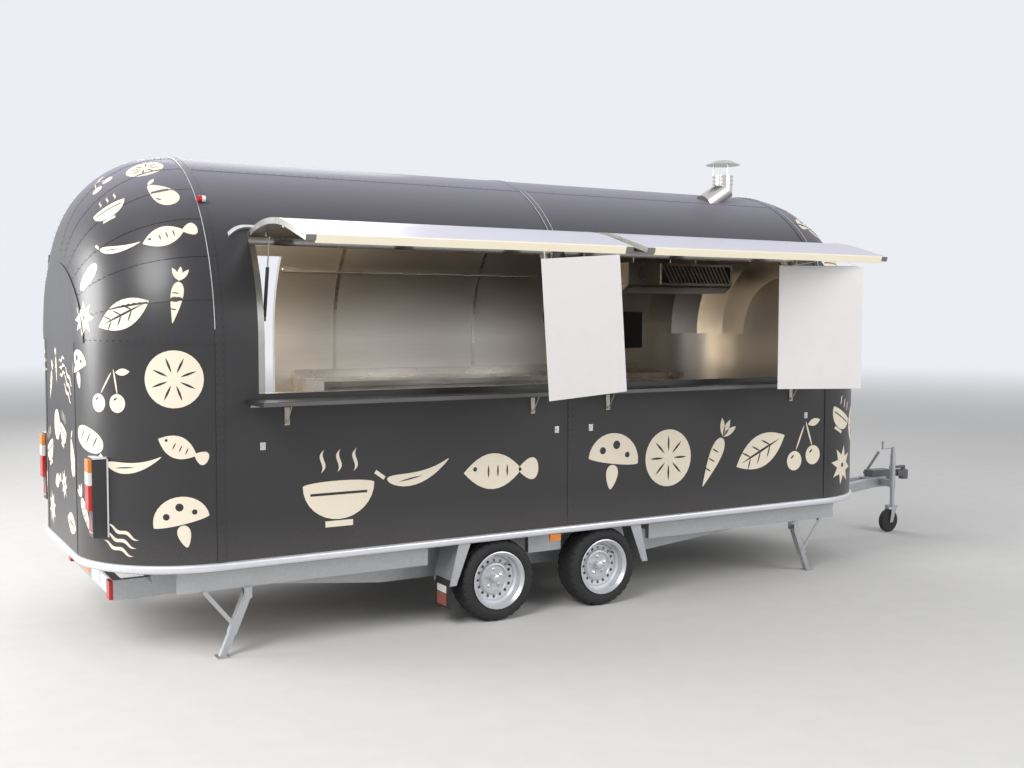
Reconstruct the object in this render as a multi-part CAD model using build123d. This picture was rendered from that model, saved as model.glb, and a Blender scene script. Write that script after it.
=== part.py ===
from build123d import *
import os
from math import cos, degrees, radians, sin, sqrt

# Food trailer with a riveted round-ended body on a tandem-axle chassis.
# Millimetres. X forward to the drawbar, Y to the far (door) side, Z up.
# The origin is on the ground, midway between the two axles, on the centre plane.

os.makedirs("parts", exist_ok=True)

# Body shell
BODY_HALF_WIDTH = 1120
CORNER_RADIUS = 640
REAR_SEAM_X = -2170
MID_SEAM_X = 120
FRONT_SEAM_X = 2410
WALL = 40
FLOOR_TOP_Z = 570
FLOOR_THICKNESS = 50
WAIST_Z = 1770
CUT_REACH = 180
TRIM_HEIGHT = 46
TRIM_PROUD = 18
FIT = 0.3

# Angles on the roof arch, in degrees above the waist
HINGE_ANGLE = 34
FAR_SEAM_ANGLE = 38.6
HEADER_ANGLE = 30.8
GORES_PER_SIDE = 7
GORE_ANGLE = 90 / GORES_PER_SIDE
SHOULDER_ANGLE = 5 * GORE_ANGLE

# Lapped gores of the end domes
LAP_STEP = 2.5
LAP_ANGLE = 1.2
GORE_SKIN = 12
LINING_FACETS = 4
CENTRE_PLATE_HALF_WIDTH = 660
CENTRE_PLATE_HEIGHT = 466
DOME_FLAT = 100
CENTRE_PLATE_SHEET = 5.5
CENTRE_PLATE_LIFT = 1
SEAM_STRIP_WIDTH = 45
SEAM_STRIP_PROUD = 5
ROOF_STRIP_WIDTH = 30
ROOF_STRIP_PROUD = 3

# Serving openings, hatches and counters
SILL_Z = 1490
WINDOW_REAR_X = -1950
WINDOW_FRONT_X = 2200
MID_POST_WIDTH = 90
FRAME_DEPTH = 38
FRAME_LIP = 50
HATCH_THICKNESS = 32
HATCH_GAP = 6
HATCH_OPEN = 74
HATCH_PIVOT_PROUD = 10
HATCH_KNUCKLE_RADIUS = 9
HINGE_PIN = 4
COUNTER_THICKNESS = 25
COUNTER_TOP_Z = 1460
COUNTER_DEPTH = 270
COUNTER_AXIS_OUT = 15
COUNTER_EDGE_OUT = 6
COUNTER_KNUCKLE = 5.7
COUNTER_END_IN = 15
COUNTER_END_OUT = 70

# Gas struts
STRUT_FOOT_IN = 57
STRUT_FOOT_Z = 1900
STRUT_HEAD_ANGLE = 27
STRUT_HEAD_IN = 28
STRUT_TUBE_RADIUS = 10
STRUT_ROD_RADIUS = 4
STRUT_TUBE_LENGTH = 300
STRUT_ROD_OVERLAP = 45
STRUT_INSET = 30
STRUT_PIN_RADIUS = 4

# Counter brackets
BRACKET_WIDTH = 30
BRACKET_HEIGHT = 100
BRACKET_PLATE = 4
BRACKET_PIVOT_DROP = 110
BRACKET_ARM = 125
BRACKET_INSET = 230
BRACKET_PIN = 2.5

# Entrance door in the far wall
DOOR_REAR_X = -1900
DOOR_WIDTH = 800
DOOR_TOP_ANGLE = 33
DOOR_OPEN = 165
DOOR_GAP = 7
DOOR_PIVOT_PROUD = 15
DOOR_BOTTOM_Z = 580
DOOR_HINGES = (760, 1180, 1600)

# Running gear
AXLE_SPACING = 800
TYRE_RADIUS = 262.5
TYRE_WIDTH = 195
RIM_RADIUS = 181
WHEEL_Y = BODY_HALF_WIDTH - 108
STUB_RADIUS = 22
STUB_CLEARANCE = 0.05
RIM_HOLES = 16
RIM_HOLE_RADIUS = 9.5
RIM_HOLE_CIRCLE = 117
TORSION_ARM = 150
AXLE_BEAM = 62
AXLE_BEAM_Z = 214
WHEEL_BOX_HALF_LENGTH = 695
WHEEL_BOX_INNER_Y = BODY_HALF_WIDTH - 235
WHEEL_BOX_TOP_Z = 645
SHEET = 4
GUARD_BOTTOM_Z = 266
GUARD_LEAN = 62
GUARD_FLANGE_TOP = 84
GUARD_FLANGE_BOTTOM = 46
GUARD_OUTER_Y = BODY_HALF_WIDTH - 7
FLAP_TOP_Z = 300
FLAP_BOTTOM_Z = 122

# Chassis
RAIL_Y = 700
RAIL_WIDTH = 60
RAIL_BOTTOM_Z = 250
MEMBER_WIDTH = 40
MEMBER_HEIGHT = 80
SIDE_BEAM_Y = 980
SIDE_BEAM_WIDTH = 40
SIDE_BEAM_HEIGHT = 130
FRAME_TOP_Z = FLOOR_TOP_Z - FLOOR_THICKNESS
REAR_BAR_X = -2650
REAR_BAR_HALF = 640
REAR_BAR_Z = 370
REAR_BAR_HEIGHT = 115
COUPLING_X = 4560
COUPLING_Z = 430
DRAWBAR_TUBE = 80
SOCKET_RADIUS = 25.5

# Prop legs
LEG_PIVOT_X = 2228
LEG_PIVOT_Z = 345
LEG_Y = 980
LEG_PIN_RADIUS = 10
LEG_TUBE = 46
LEG_LEAN = 23
STAY_EYE_X = 2473
STAY_EYE_Z = 381
STAY_PIN_DOWN = 190
STAY_PIN_RADIUS = 5

# Jockey wheel
JOCKEY_X = 4200
JOCKEY_Y = -190
JOCKEY_WHEEL_RADIUS = 100
JOCKEY_WHEEL_WIDTH = 50
JOCKEY_TUBE_RADIUS = 24
JOCKEY_COLUMN_RADIUS = 19
JOCKEY_TRAIL = 45

# Chimney
CHIMNEY_X = 1975
CHIMNEY_Y = -420
CHIMNEY_FLANGE_X = 1790
CHIMNEY_RADIUS = 74
CHIMNEY_CAP_RADIUS = 130
CHIMNEY_RISE = 225

REAR_X = REAR_SEAM_X - CORNER_RADIUS
FRONT_X = FRONT_SEAM_X + CORNER_RADIUS
BODY_LENGTH = FRONT_X - REAR_X
BODY_MID_X = (FRONT_X + REAR_X) / 2
INNER_RADIUS = BODY_HALF_WIDTH - WALL
PLATE_RADIUS = BODY_HALF_WIDTH - CORNER_RADIUS
CENTRE_PLATE_BACK = PLATE_RADIUS - DOME_FLAT
OUT_Y, OUT_Z = BODY_HALF_WIDTH + CUT_REACH, WAIST_Z + BODY_HALF_WIDTH + CUT_REACH
STRUT_FOOT_Y = STRUT_FOOT_IN - (INNER_RADIUS - FRAME_DEPTH)
STRUT_HEAD_RADIUS = INNER_RADIUS - STRUT_HEAD_IN
CHIMNEY_TOP_Z = WAIST_Z + BODY_HALF_WIDTH + CHIMNEY_RISE
WINDOWS = {
    "rear": (WINDOW_REAR_X, MID_SEAM_X - MID_POST_WIDTH / 2),
    "front": (MID_SEAM_X + MID_POST_WIDTH / 2, WINDOW_FRONT_X),
}
DOOR_FRONT_X = DOOR_REAR_X + DOOR_WIDTH
SIDES = {"near": -1, "far": 1}
AXLES = {"rear": -AXLE_SPACING / 2, "front": AXLE_SPACING / 2}


def block(x0, x1, y0, y1, z0, z1):
    size = Box(x1 - x0, y1 - y0, z1 - z0)
    return Pos((x0 + x1) / 2, (y0 + y1) / 2, (z0 + z1) / 2) * size


def rod(p, q, radius):
    start, end = Vector(*p), Vector(*q)
    plane = Plane(start, z_dir=end - start)
    return extrude(plane * Circle(radius), (end - start).length)


def arch_point(angle, radius, side=-1):
    """Y and Z of a point on the roof arch, at an angle above the waist."""
    return side * radius * cos(radians(angle)), WAIST_Z + radius * sin(radians(angle))


def arch_band(x0, x1, r_in, r_out, a0, a1):
    """Part of the half-cylinder roof. Angles run from 0 at the service waist to 180 at the far one."""
    middle = (0, WAIST_Z)
    outer = CenterArc(middle, r_out, 180 - a1, a1 - a0)
    inner = CenterArc(middle, r_in, 180 - a1, a1 - a0)
    face = make_face([outer, inner, Line(outer @ 0, inner @ 0), Line(outer @ 1, inner @ 1)])
    return extrude(Plane.YZ.offset(x0) * face, x1 - x0)


def plan(offset, z, height):
    """Slab with the body's round-cornered plan, grown or shrunk by an offset."""
    size = (BODY_LENGTH + 2 * offset, 2 * (BODY_HALF_WIDTH + offset))
    return Pos(BODY_MID_X, 0, z) * extrude(RectangleRounded(*size, CORNER_RADIUS + offset), height)


def side_view(points, y, width):
    """Plate or beam drawn from the side, as X and Z corners, centred on a Y."""
    face = Plane.XZ * make_face(Polyline(*points, close=True))
    return Pos(0, y, 0) * extrude(face, width / 2, both=True)


def hinge_turn(shape, y, z, angle):
    return shape.rotate(Axis((0, y, z), (1, 0, 0)), angle)


NODES = {}


def add(name, *solids):
    shape = solids[0]
    for other in solids[1:]:
        shape = shape + other
    NODES[name] = shape


# Floor deck with the cut-outs over the wheels, and the rub rail around it
deck = plan(0, FRAME_TOP_Z, FLOOR_THICKNESS)
for side in (-1, 1):
    cut_y = sorted((side * WHEEL_BOX_INNER_Y, side * OUT_Y))
    deck = deck - block(-WHEEL_BOX_HALF_LENGTH, WHEEL_BOX_HALF_LENGTH, *cut_y, 0, 700)
add("floor_deck", deck)

trim_z = FLOOR_TOP_Z - 2 - TRIM_HEIGHT
trim = plan(TRIM_PROUD, trim_z, TRIM_HEIGHT)
trim = fillet(trim.edges().filter_by(GeomType.LINE).filter_by(Axis.Z, reverse=True), 16)
add("base_trim", trim - plan(0, FRAME_TOP_Z - 100, 300))

# Boxes over the wheels, standing in the floor's cut-outs
trays = []
for side in (-1, 1):
    outer_y, inner_y = side * INNER_RADIUS, side * WHEEL_BOX_INNER_Y
    low, high = sorted((outer_y, inner_y))
    tray = block(-WHEEL_BOX_HALF_LENGTH, WHEEL_BOX_HALF_LENGTH, low, high, FRAME_TOP_Z, WHEEL_BOX_TOP_Z)
    low, high = sorted((side * (BODY_HALF_WIDTH + 9), side * (WHEEL_BOX_INNER_Y + SHEET)))
    inside = block(
        -WHEEL_BOX_HALF_LENGTH + SHEET, WHEEL_BOX_HALF_LENGTH - SHEET, low, high, 0, WHEEL_BOX_TOP_Z - SHEET
    )
    trays.append(tray - inside)
add("wheel_boxes", *trays)

# Lower walls: a ring in plan, parted at the two seams
ring = plan(0, FLOOR_TOP_Z, WAIST_Z - FLOOR_TOP_Z) - plan(-WALL, FLOOR_TOP_Z, WAIST_Z - FLOOR_TOP_Z)
end_cut = block(REAR_SEAM_X, FRONT_SEAM_X, -OUT_Y, OUT_Y, FLOOR_TOP_Z - 1, WAIST_Z + 1)
add("end_walls", ring - end_cut)

# Side walls run up the arch, to the hatch hinge line and to a seam above the door
low_side = block(REAR_SEAM_X, FRONT_SEAM_X, -BODY_HALF_WIDTH, -INNER_RADIUS, FLOOR_TOP_Z, WAIST_Z)
service = low_side + arch_band(REAR_SEAM_X, FRONT_SEAM_X, INNER_RADIUS, BODY_HALF_WIDTH, 0, HINGE_ANGLE)
far = low_side + arch_band(REAR_SEAM_X, FRONT_SEAM_X, INNER_RADIUS, BODY_HALF_WIDTH, 0, FAR_SEAM_ANGLE)
far = mirror(far, Plane.XZ)
for x0, x1 in WINDOWS.values():
    service = service - block(x0, x1, -OUT_Y, 0, SILL_Z, OUT_Z)
add("wall_service", service)

door_axis_y = BODY_HALF_WIDTH + DOOR_PIVOT_PROUD
door_top = arch_point(DOOR_TOP_ANGLE, INNER_RADIUS)[1]
door_hole = block(DOOR_REAR_X, DOOR_FRONT_X, 0, OUT_Y, DOOR_BOTTOM_Z - DOOR_GAP, door_top)
far = far - door_hole
for z in DOOR_HINGES:
    for z0, z1 in ((z - 82, z - 41), (z + 41, z + 82)):
        leaf = block(DOOR_REAR_X - 50, DOOR_REAR_X, BODY_HALF_WIDTH, door_axis_y - 7, z0, z1)
        far = far + leaf + rod((DOOR_REAR_X, door_axis_y, z0), (DOOR_REAR_X, door_axis_y, z1), 8)
    far = far + rod((DOOR_REAR_X, door_axis_y, z - 60), (DOOR_REAR_X, door_axis_y, z + 60), HINGE_PIN)
add("wall_far", far)


def knuckle_places(name):
    """X of the three hinges along a hatch."""
    x0, x1 = WINDOWS[name]
    return [x0 + share * (x1 - x0) for share in (0.12, 0.5, 0.88)]


hinge_y, hinge_z = arch_point(HINGE_ANGLE, BODY_HALF_WIDTH + HATCH_PIVOT_PROUD)


def hinge_leaf(x0, x1, a0, a1):
    """Hinge leaf on the outer skin with its knuckle on the hatch axis."""
    leaf = arch_band(x0, x1, BODY_HALF_WIDTH, BODY_HALF_WIDTH + 4, a0, a1)
    return leaf + rod((x0, hinge_y, hinge_z), (x1, hinge_y, hinge_z), HATCH_KNUCKLE_RADIUS)


# Roof: shoulder and crown sheets, parted at the middle joint
for name, spans in {
    "roof_shoulders": ((HINGE_ANGLE, SHOULDER_ANGLE), (180 - SHOULDER_ANGLE, 180 - FAR_SEAM_ANGLE)),
    "roof_crown": ((SHOULDER_ANGLE, 180 - SHOULDER_ANGLE),),
}.items():
    sheets = []
    for a0, a1 in spans:
        for x0, x1 in ((REAR_SEAM_X, MID_SEAM_X - 1), (MID_SEAM_X + 1, FRONT_SEAM_X)):
            sheet = arch_band(x0, x1, INNER_RADIUS, BODY_HALF_WIDTH, a0, a1)
            if a0 == HINGE_ANGLE:
                for x in knuckle_places("rear" if x0 < MID_SEAM_X else "front"):
                    sheet = sheet + hinge_leaf(x + 1, x + 60, HINGE_ANGLE, HINGE_ANGLE + 2.5)
                    sheet = sheet + rod((x - 50, hinge_y, hinge_z), (x + 5, hinge_y, hinge_z), HINGE_PIN)
            sheets.append(sheet)
    NODES[name] = Compound(children=sheets)


DOME_CORNER = (REAR_SEAM_X, PLATE_RADIUS)
DOME_AXIS = Axis((0, 0, WAIST_Z), (1, 0, 0))


def dome_section(inner, out_radius, end_height):
    """Face between the dome's outer arc and a list of inner points, ready to turn about the dome's axis."""
    arc = CenterArc(DOME_CORNER, out_radius, 90, 90)
    tip = (REAR_SEAM_X - out_radius, end_height)
    sides = Polyline(arc @ 1, tip, *inner, arc @ 0)
    return Pos(0, 0, WAIST_Z) * (Plane.XZ * make_face([arc, sides]))


def gored_dome():
    """Rear end dome: seven gores a side, each lapped over the next one below, on a faceted lining."""
    skin = CORNER_RADIUS - GORE_SKIN
    back_x = REAR_SEAM_X - skin
    skin_arc = CenterArc(DOME_CORNER, skin, 90, 90)
    ring = [
        CenterArc(DOME_CORNER, CORNER_RADIUS, 90, 90), skin_arc,
        Line((REAR_SEAM_X, BODY_HALF_WIDTH), skin_arc @ 0),
        Polyline(
            (REAR_X, PLATE_RADIUS), (REAR_X, CENTRE_PLATE_BACK), (back_x, CENTRE_PLATE_BACK), skin_arc @ 1
        ),
    ]
    gore_face = Pos(0, 0, WAIST_Z) * (Plane.XZ * make_face(ring))
    shift = LAP_STEP / sin(radians(GORE_ANGLE))
    half = None
    for number in range(GORES_PER_SIDE):
        top = number * GORE_ANGLE
        gore = revolve(gore_face, DOME_AXIS, GORE_ANGLE + LAP_ANGLE).rotate(DOME_AXIS, top - LAP_ANGLE)
        gore = Pos(0, -shift * cos(radians(top)), -shift * sin(radians(top))) * gore
        half = gore if half is None else half + gore
    inner = CORNER_RADIUS - WALL
    turns = [radians(180 - 90 * number / LINING_FACETS) for number in range(LINING_FACETS + 1)]
    folds = [(REAR_SEAM_X + inner * cos(turn), PLATE_RADIUS + inner * sin(turn)) for turn in turns]
    folds = [(REAR_X + WALL, CENTRE_PLATE_BACK), *folds]
    lining_face = dome_section(folds, CORNER_RADIUS - GORE_SKIN / 2, CENTRE_PLATE_BACK)
    half = half + revolve(lining_face, DOME_AXIS, 95).rotate(DOME_AXIS, -2)
    half = half & block(REAR_X - 50, REAR_SEAM_X, -OUT_Y, 0, WAIST_Z, OUT_Z)
    edge_x = REAR_SEAM_X - SEAM_STRIP_WIDTH / 2
    half = half - arch_band(edge_x, REAR_SEAM_X + 1, BODY_HALF_WIDTH, BODY_HALF_WIDTH + 20, -2, 92)
    return half + mirror(half, Plane.XZ)


def centre_plate():
    """Curved plate, wider than high, lying on the lower ends of the gores, with its round backing."""
    middle = (REAR_SEAM_X, PLATE_RADIUS + LAP_STEP + CENTRE_PLATE_LIFT)
    outer = CenterArc(middle, CORNER_RADIUS + CENTRE_PLATE_SHEET, 150, 30)
    inner = CenterArc(middle, CORNER_RADIUS, 150, 30)
    outer_x = REAR_X - CENTRE_PLATE_SHEET
    ends = [Line(outer @ 0, inner @ 0), Polyline(outer @ 1, (outer_x, 0), (REAR_X, 0), inner @ 1)]
    face = Pos(0, 0, WAIST_Z) * (Plane.XZ * make_face([outer, inner, *ends]))
    shell = revolve(face, DOME_AXIS, 90) + revolve(face, DOME_AXIS, -90)
    at_end = Plane.YZ.offset(REAR_X - 50) * Pos(0, WAIST_Z)
    oval = extrude(at_end * Ellipse(CENTRE_PLATE_HALF_WIDTH, CENTRE_PLATE_HEIGHT), 200)
    backing = extrude(Plane.YZ.offset(REAR_X) * Pos(0, WAIST_Z) * Circle(CENTRE_PLATE_BACK - FIT), WALL)
    upper_half = block(REAR_X - 50, REAR_SEAM_X, -OUT_Y, OUT_Y, WAIST_Z, OUT_Z)
    return (shell & oval & upper_half) + (backing & upper_half)


dome, plate = gored_dome(), centre_plate()
for name, shape in {"end_domes": dome, "end_plates": plate}.items():
    NODES[name] = Compound(children=[shape, mirror(shape, Plane.YZ.offset(BODY_MID_X))])


def hoop(x, proud, a0=0, a1=180, feet=(True, True)):
    """Seam strip around the shell at one X, with straight feet down to the floor line."""
    x0, x1 = x - SEAM_STRIP_WIDTH / 2, x + SEAM_STRIP_WIDTH / 2
    strip = arch_band(x0, x1, BODY_HALF_WIDTH, BODY_HALF_WIDTH + proud, a0, a1)
    for side, wanted in zip((-1, 1), feet):
        if wanted:
            low, high = sorted((side * BODY_HALF_WIDTH, side * (BODY_HALF_WIDTH + proud)))
            strip = strip + block(x0, x1, low, high, FLOOR_TOP_Z, WAIST_Z)
    return strip


# Riveted seam strips: three hoops, the mid strip below the counters and four along the roof
strips = [
    hoop(REAR_SEAM_X, SEAM_STRIP_PROUD),
    hoop(FRONT_SEAM_X, SEAM_STRIP_PROUD),
    hoop(MID_SEAM_X, SEAM_STRIP_PROUD - 1, HINGE_ANGLE + 1, 180, (False, True)),
    block(
        MID_SEAM_X - SEAM_STRIP_WIDTH / 2, MID_SEAM_X + SEAM_STRIP_WIDTH / 2,
        -BODY_HALF_WIDTH - 3, -BODY_HALF_WIDTH, FLOOR_TOP_Z, COUNTER_TOP_Z - 60,
    ),
]
half_strip = degrees(ROOF_STRIP_WIDTH / 2 / BODY_HALF_WIDTH)
end_gap = SEAM_STRIP_WIDTH / 2 + 0.5
for angle in (SHOULDER_ANGLE, 180 - SHOULDER_ANGLE):
    for x0, x1 in ((REAR_SEAM_X, MID_SEAM_X), (MID_SEAM_X, FRONT_SEAM_X)):
        strips.append(
            arch_band(
                x0 + end_gap, x1 - end_gap, BODY_HALF_WIDTH, BODY_HALF_WIDTH + ROOF_STRIP_PROUD,
                angle - half_strip, angle + half_strip,
            )
        )
front_service_strip = strips[-3]
NODES["seam_strips"] = Compound(children=strips)

# Rebate frame behind the hatches: header, sill, end jambs and the post between the openings
frame_x0, frame_x1 = WINDOW_REAR_X - 45, WINDOW_FRONT_X + 45
frame_out, frame_in = INNER_RADIUS, INNER_RADIUS - FRAME_DEPTH
opening_frame = block(frame_x0, frame_x1, -frame_out, -frame_in, SILL_Z - 60, WAIST_Z)
opening_frame = opening_frame + arch_band(frame_x0, frame_x1, frame_in, frame_out, 0, HINGE_ANGLE + 3)
header_z = arch_point(HEADER_ANGLE, frame_out)[1]
for x0, x1 in WINDOWS.values():
    opening_frame = opening_frame - block(x0 + FRAME_LIP, x1 - FRAME_LIP, -OUT_Y, 0, SILL_Z, header_z)
for x0, x1 in WINDOWS.values():
    for edge, inward in ((x0 + FRAME_LIP, 1), (x1 - FRAME_LIP, -1)):
        lug_x = sorted((edge - inward * 8, edge))
        lug = block(*lug_x, -frame_in - 2, STRUT_FOOT_Y + 14, STRUT_FOOT_Z - 16, STRUT_FOOT_Z + 16)
        pin_x = (edge - inward * 4, edge + inward * (STRUT_INSET + 9))
        pin = rod(*[(x, STRUT_FOOT_Y, STRUT_FOOT_Z) for x in pin_x], STRUT_PIN_RADIUS)
        opening_frame = opening_frame + lug + pin
add("opening_frame", opening_frame)

# Chassis: deep rails, side beams with the legs' hangers, cross members between them and the rear bar
RAIL_OUTLINE = [
    # X, Z
    (-2450, FRAME_TOP_Z), (2500, FRAME_TOP_Z), (2500, 385),
    (1050, RAIL_BOTTOM_Z), (-1050, RAIL_BOTTOM_Z), (-2450, 400),
]
rails = [side_view(RAIL_OUTLINE, side * RAIL_Y, RAIL_WIDTH) for side in (-1, 1)]
NODES["chassis_rails"] = Compound(children=rails)

beam_z = FRAME_TOP_Z - SIDE_BEAM_HEIGHT
beams = []
for side in (-1, 1):
    y0, y1 = side * SIDE_BEAM_Y - SIDE_BEAM_WIDTH / 2, side * SIDE_BEAM_Y + SIDE_BEAM_WIDTH / 2
    head_y = (side * LEG_Y - 32, side * LEG_Y + 32)
    hanger = block(LEG_PIVOT_X - 26, LEG_PIVOT_X + 26, *head_y, beam_z - 6, beam_z)
    for offset in (-29, 29):
        y = side * LEG_Y + offset
        hanger = hanger + block(LEG_PIVOT_X - 22, LEG_PIVOT_X + 22, y - 3, y + 3, LEG_PIVOT_Z - 20, beam_z)
    ends = [(LEG_PIVOT_X, side * LEG_Y + end, LEG_PIVOT_Z) for end in (-40, 40)]
    hanger = hanger - rod(*ends, LEG_PIN_RADIUS + 0.05)
    stay_y = sorted((side * (LEG_Y + 5), side * (LEG_Y + 19)))
    hanger = hanger + block(STAY_EYE_X - 12, STAY_EYE_X + 12, *stay_y, STAY_EYE_Z - 7, beam_z)
    ends = [(STAY_EYE_X, side * y, STAY_EYE_Z) for y in (LEG_Y + 10, LEG_Y + LEG_TUBE / 2 + 0.7)]
    front_hanger = hanger + rod(*ends, STAY_PIN_RADIUS)
    rear_hanger = mirror(front_hanger, Plane.YZ.offset(BODY_MID_X))
    beams.append(block(850, 2620, y0, y1, beam_z, FRAME_TOP_Z) + front_hanger)
    beams.append(block(2 * BODY_MID_X - 2620, -850, y0, y1, beam_z, FRAME_TOP_Z) + rear_hanger)
    beams.append(block(-125, 125, y0, y1, beam_z, FRAME_TOP_Z))
NODES["side_beams"] = Compound(children=beams)

member_spans = [(RAIL_WIDTH / 2 - RAIL_Y, RAIL_Y - RAIL_WIDTH / 2)]
for side in (-1, 1):
    rail_side, beam_side = RAIL_Y + RAIL_WIDTH / 2, SIDE_BEAM_Y - SIDE_BEAM_WIDTH / 2
    member_spans.append(sorted((side * rail_side, side * beam_side)))
NODES["cross_members"] = Compound(children=[
    block(x - MEMBER_WIDTH / 2, x + MEMBER_WIDTH / 2, *span, FRAME_TOP_Z - MEMBER_HEIGHT, FRAME_TOP_Z)
    for x in (-2300, -1600, -900, 0, 900, 1600, 2300)
    for span in member_spans
])

bar_z0, bar_z1 = REAR_BAR_Z - REAR_BAR_HEIGHT / 2, REAR_BAR_Z + REAR_BAR_HEIGHT / 2
rear_bar = block(REAR_BAR_X, REAR_BAR_X + 50, -REAR_BAR_HALF, REAR_BAR_HALF, bar_z0, bar_z1)
for side in (-1, 1):
    low, high = sorted((side * REAR_BAR_HALF, side * (REAR_BAR_HALF - 40)))
    rear_bar = rear_bar + block(REAR_BAR_X, -2280, low, high, bar_z0, bar_z1)
    rear_bar = rear_bar + block(-2320, -2280, low, high, bar_z0, FRAME_TOP_Z - MEMBER_HEIGHT)
add("rear_bar", rear_bar)


def drawbar_arm(side):
    """One arm of the A-shaped drawbar, from the first cross member to the coupling."""
    start = Vector(1620, side * (RAIL_Y - 70), FRAME_TOP_Z - 142)
    end = Vector(COUPLING_X - 420, side * 42, COUPLING_Z)
    plane = Plane(start, x_dir=(0, 0, 1), z_dir=end - start)
    return extrude(plane * Rectangle(DRAWBAR_TUBE, 60), (end - start).length)


tongue = block(COUPLING_X - 520, COUPLING_X - 300, -62, 62, COUPLING_Z - 45, COUPLING_Z + 45)
drawbar = drawbar_arm(-1) + drawbar_arm(1) + tongue
for side in (-1, 1):
    foot_y = sorted((side * (RAIL_Y - 110), side * (RAIL_Y - RAIL_WIDTH / 2)))
    drawbar = drawbar + block(1585, 1640, *foot_y, FRAME_TOP_Z - 184, FRAME_TOP_Z - MEMBER_HEIGHT)
add("drawbar", drawbar)

# Overrun coupling: housing, bellows, draw tube, cup head with its grip and the handbrake lever
housing = block(COUPLING_X - 460, COUPLING_X - 260, -50, 50, COUPLING_Z + 45, COUPLING_Z + 105)
housing = housing + block(COUPLING_X - 300, COUPLING_X - 230, -50, 50, COUPLING_Z - 10, COUPLING_Z + 105)
axis_z = COUPLING_Z + 60
coupling = housing
for number in range(4):
    ring_x = COUPLING_X - 230 + number * 26
    coupling = coupling + rod((ring_x, 0, axis_z), (ring_x + 15, 0, axis_z), 38)
coupling = coupling + rod((COUPLING_X - 235, 0, axis_z), (COUPLING_X - 60, 0, axis_z), 27)
cup = rod((COUPLING_X, 0, axis_z - 62), (COUPLING_X, 0, axis_z + 22), 42)
neck = block(COUPLING_X - 110, COUPLING_X, -36, 36, axis_z - 30, axis_z + 26)
grip = block(COUPLING_X - 175, COUPLING_X + 10, -13, 13, axis_z + 40, axis_z + 62)
grip = grip + block(COUPLING_X - 20, COUPLING_X + 10, -13, 13, axis_z + 10, axis_z + 62)
coupling = coupling + cup + neck + grip
ball_top = (COUPLING_X, 0, axis_z - 40)
socket = Pos(*ball_top) * Sphere(SOCKET_RADIUS) + rod((COUPLING_X, 0, axis_z - 70), ball_top, SOCKET_RADIUS)
lever = rod((COUPLING_X - 420, 72, axis_z + 12), (COUPLING_X - 250, 72, axis_z + 190), 12)
lever = lever + rod((COUPLING_X - 420, 40, axis_z + 12), (COUPLING_X - 420, 84, axis_z + 12), 16)
add("coupling", coupling - socket, lever)

# Torsion axles: a square beam, trailing arms and the stub axles that carry the wheels
axles = []
for axle_x in AXLES.values():
    beam_x = axle_x + TORSION_ARM
    half = AXLE_BEAM / 2
    axle = block(beam_x - half, beam_x + half, -845, 845, AXLE_BEAM_Z - half, AXLE_BEAM_Z + half)
    for side in (-1, 1):
        arm = side_view(
            [
                # X, Z
                (beam_x + 40, AXLE_BEAM_Z - 40), (beam_x + 40, AXLE_BEAM_Z + 40),
                (axle_x + 10, TYRE_RADIUS + 34), (axle_x - 34, TYRE_RADIUS + 20),
                (axle_x - 34, TYRE_RADIUS - 20), (axle_x + 10, TYRE_RADIUS - 34),
            ],
            side * (WHEEL_Y - 147), 40,
        )
        ends = [(axle_x, side * y, TYRE_RADIUS) for y in (WHEEL_Y - 147, WHEEL_Y + 42)]
        stub = rod(*ends, STUB_RADIUS)
        saddle_y = sorted((side * (RAIL_Y - RAIL_WIDTH / 2), side * (RAIL_Y + RAIL_WIDTH / 2)))
        saddle = block(beam_x - 60, beam_x + 60, *saddle_y, AXLE_BEAM_Z + half, RAIL_BOTTOM_Z)
        axle = axle + arm + stub + saddle
    axles.append(axle)
NODES["axles"] = Compound(children=axles)


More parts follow.
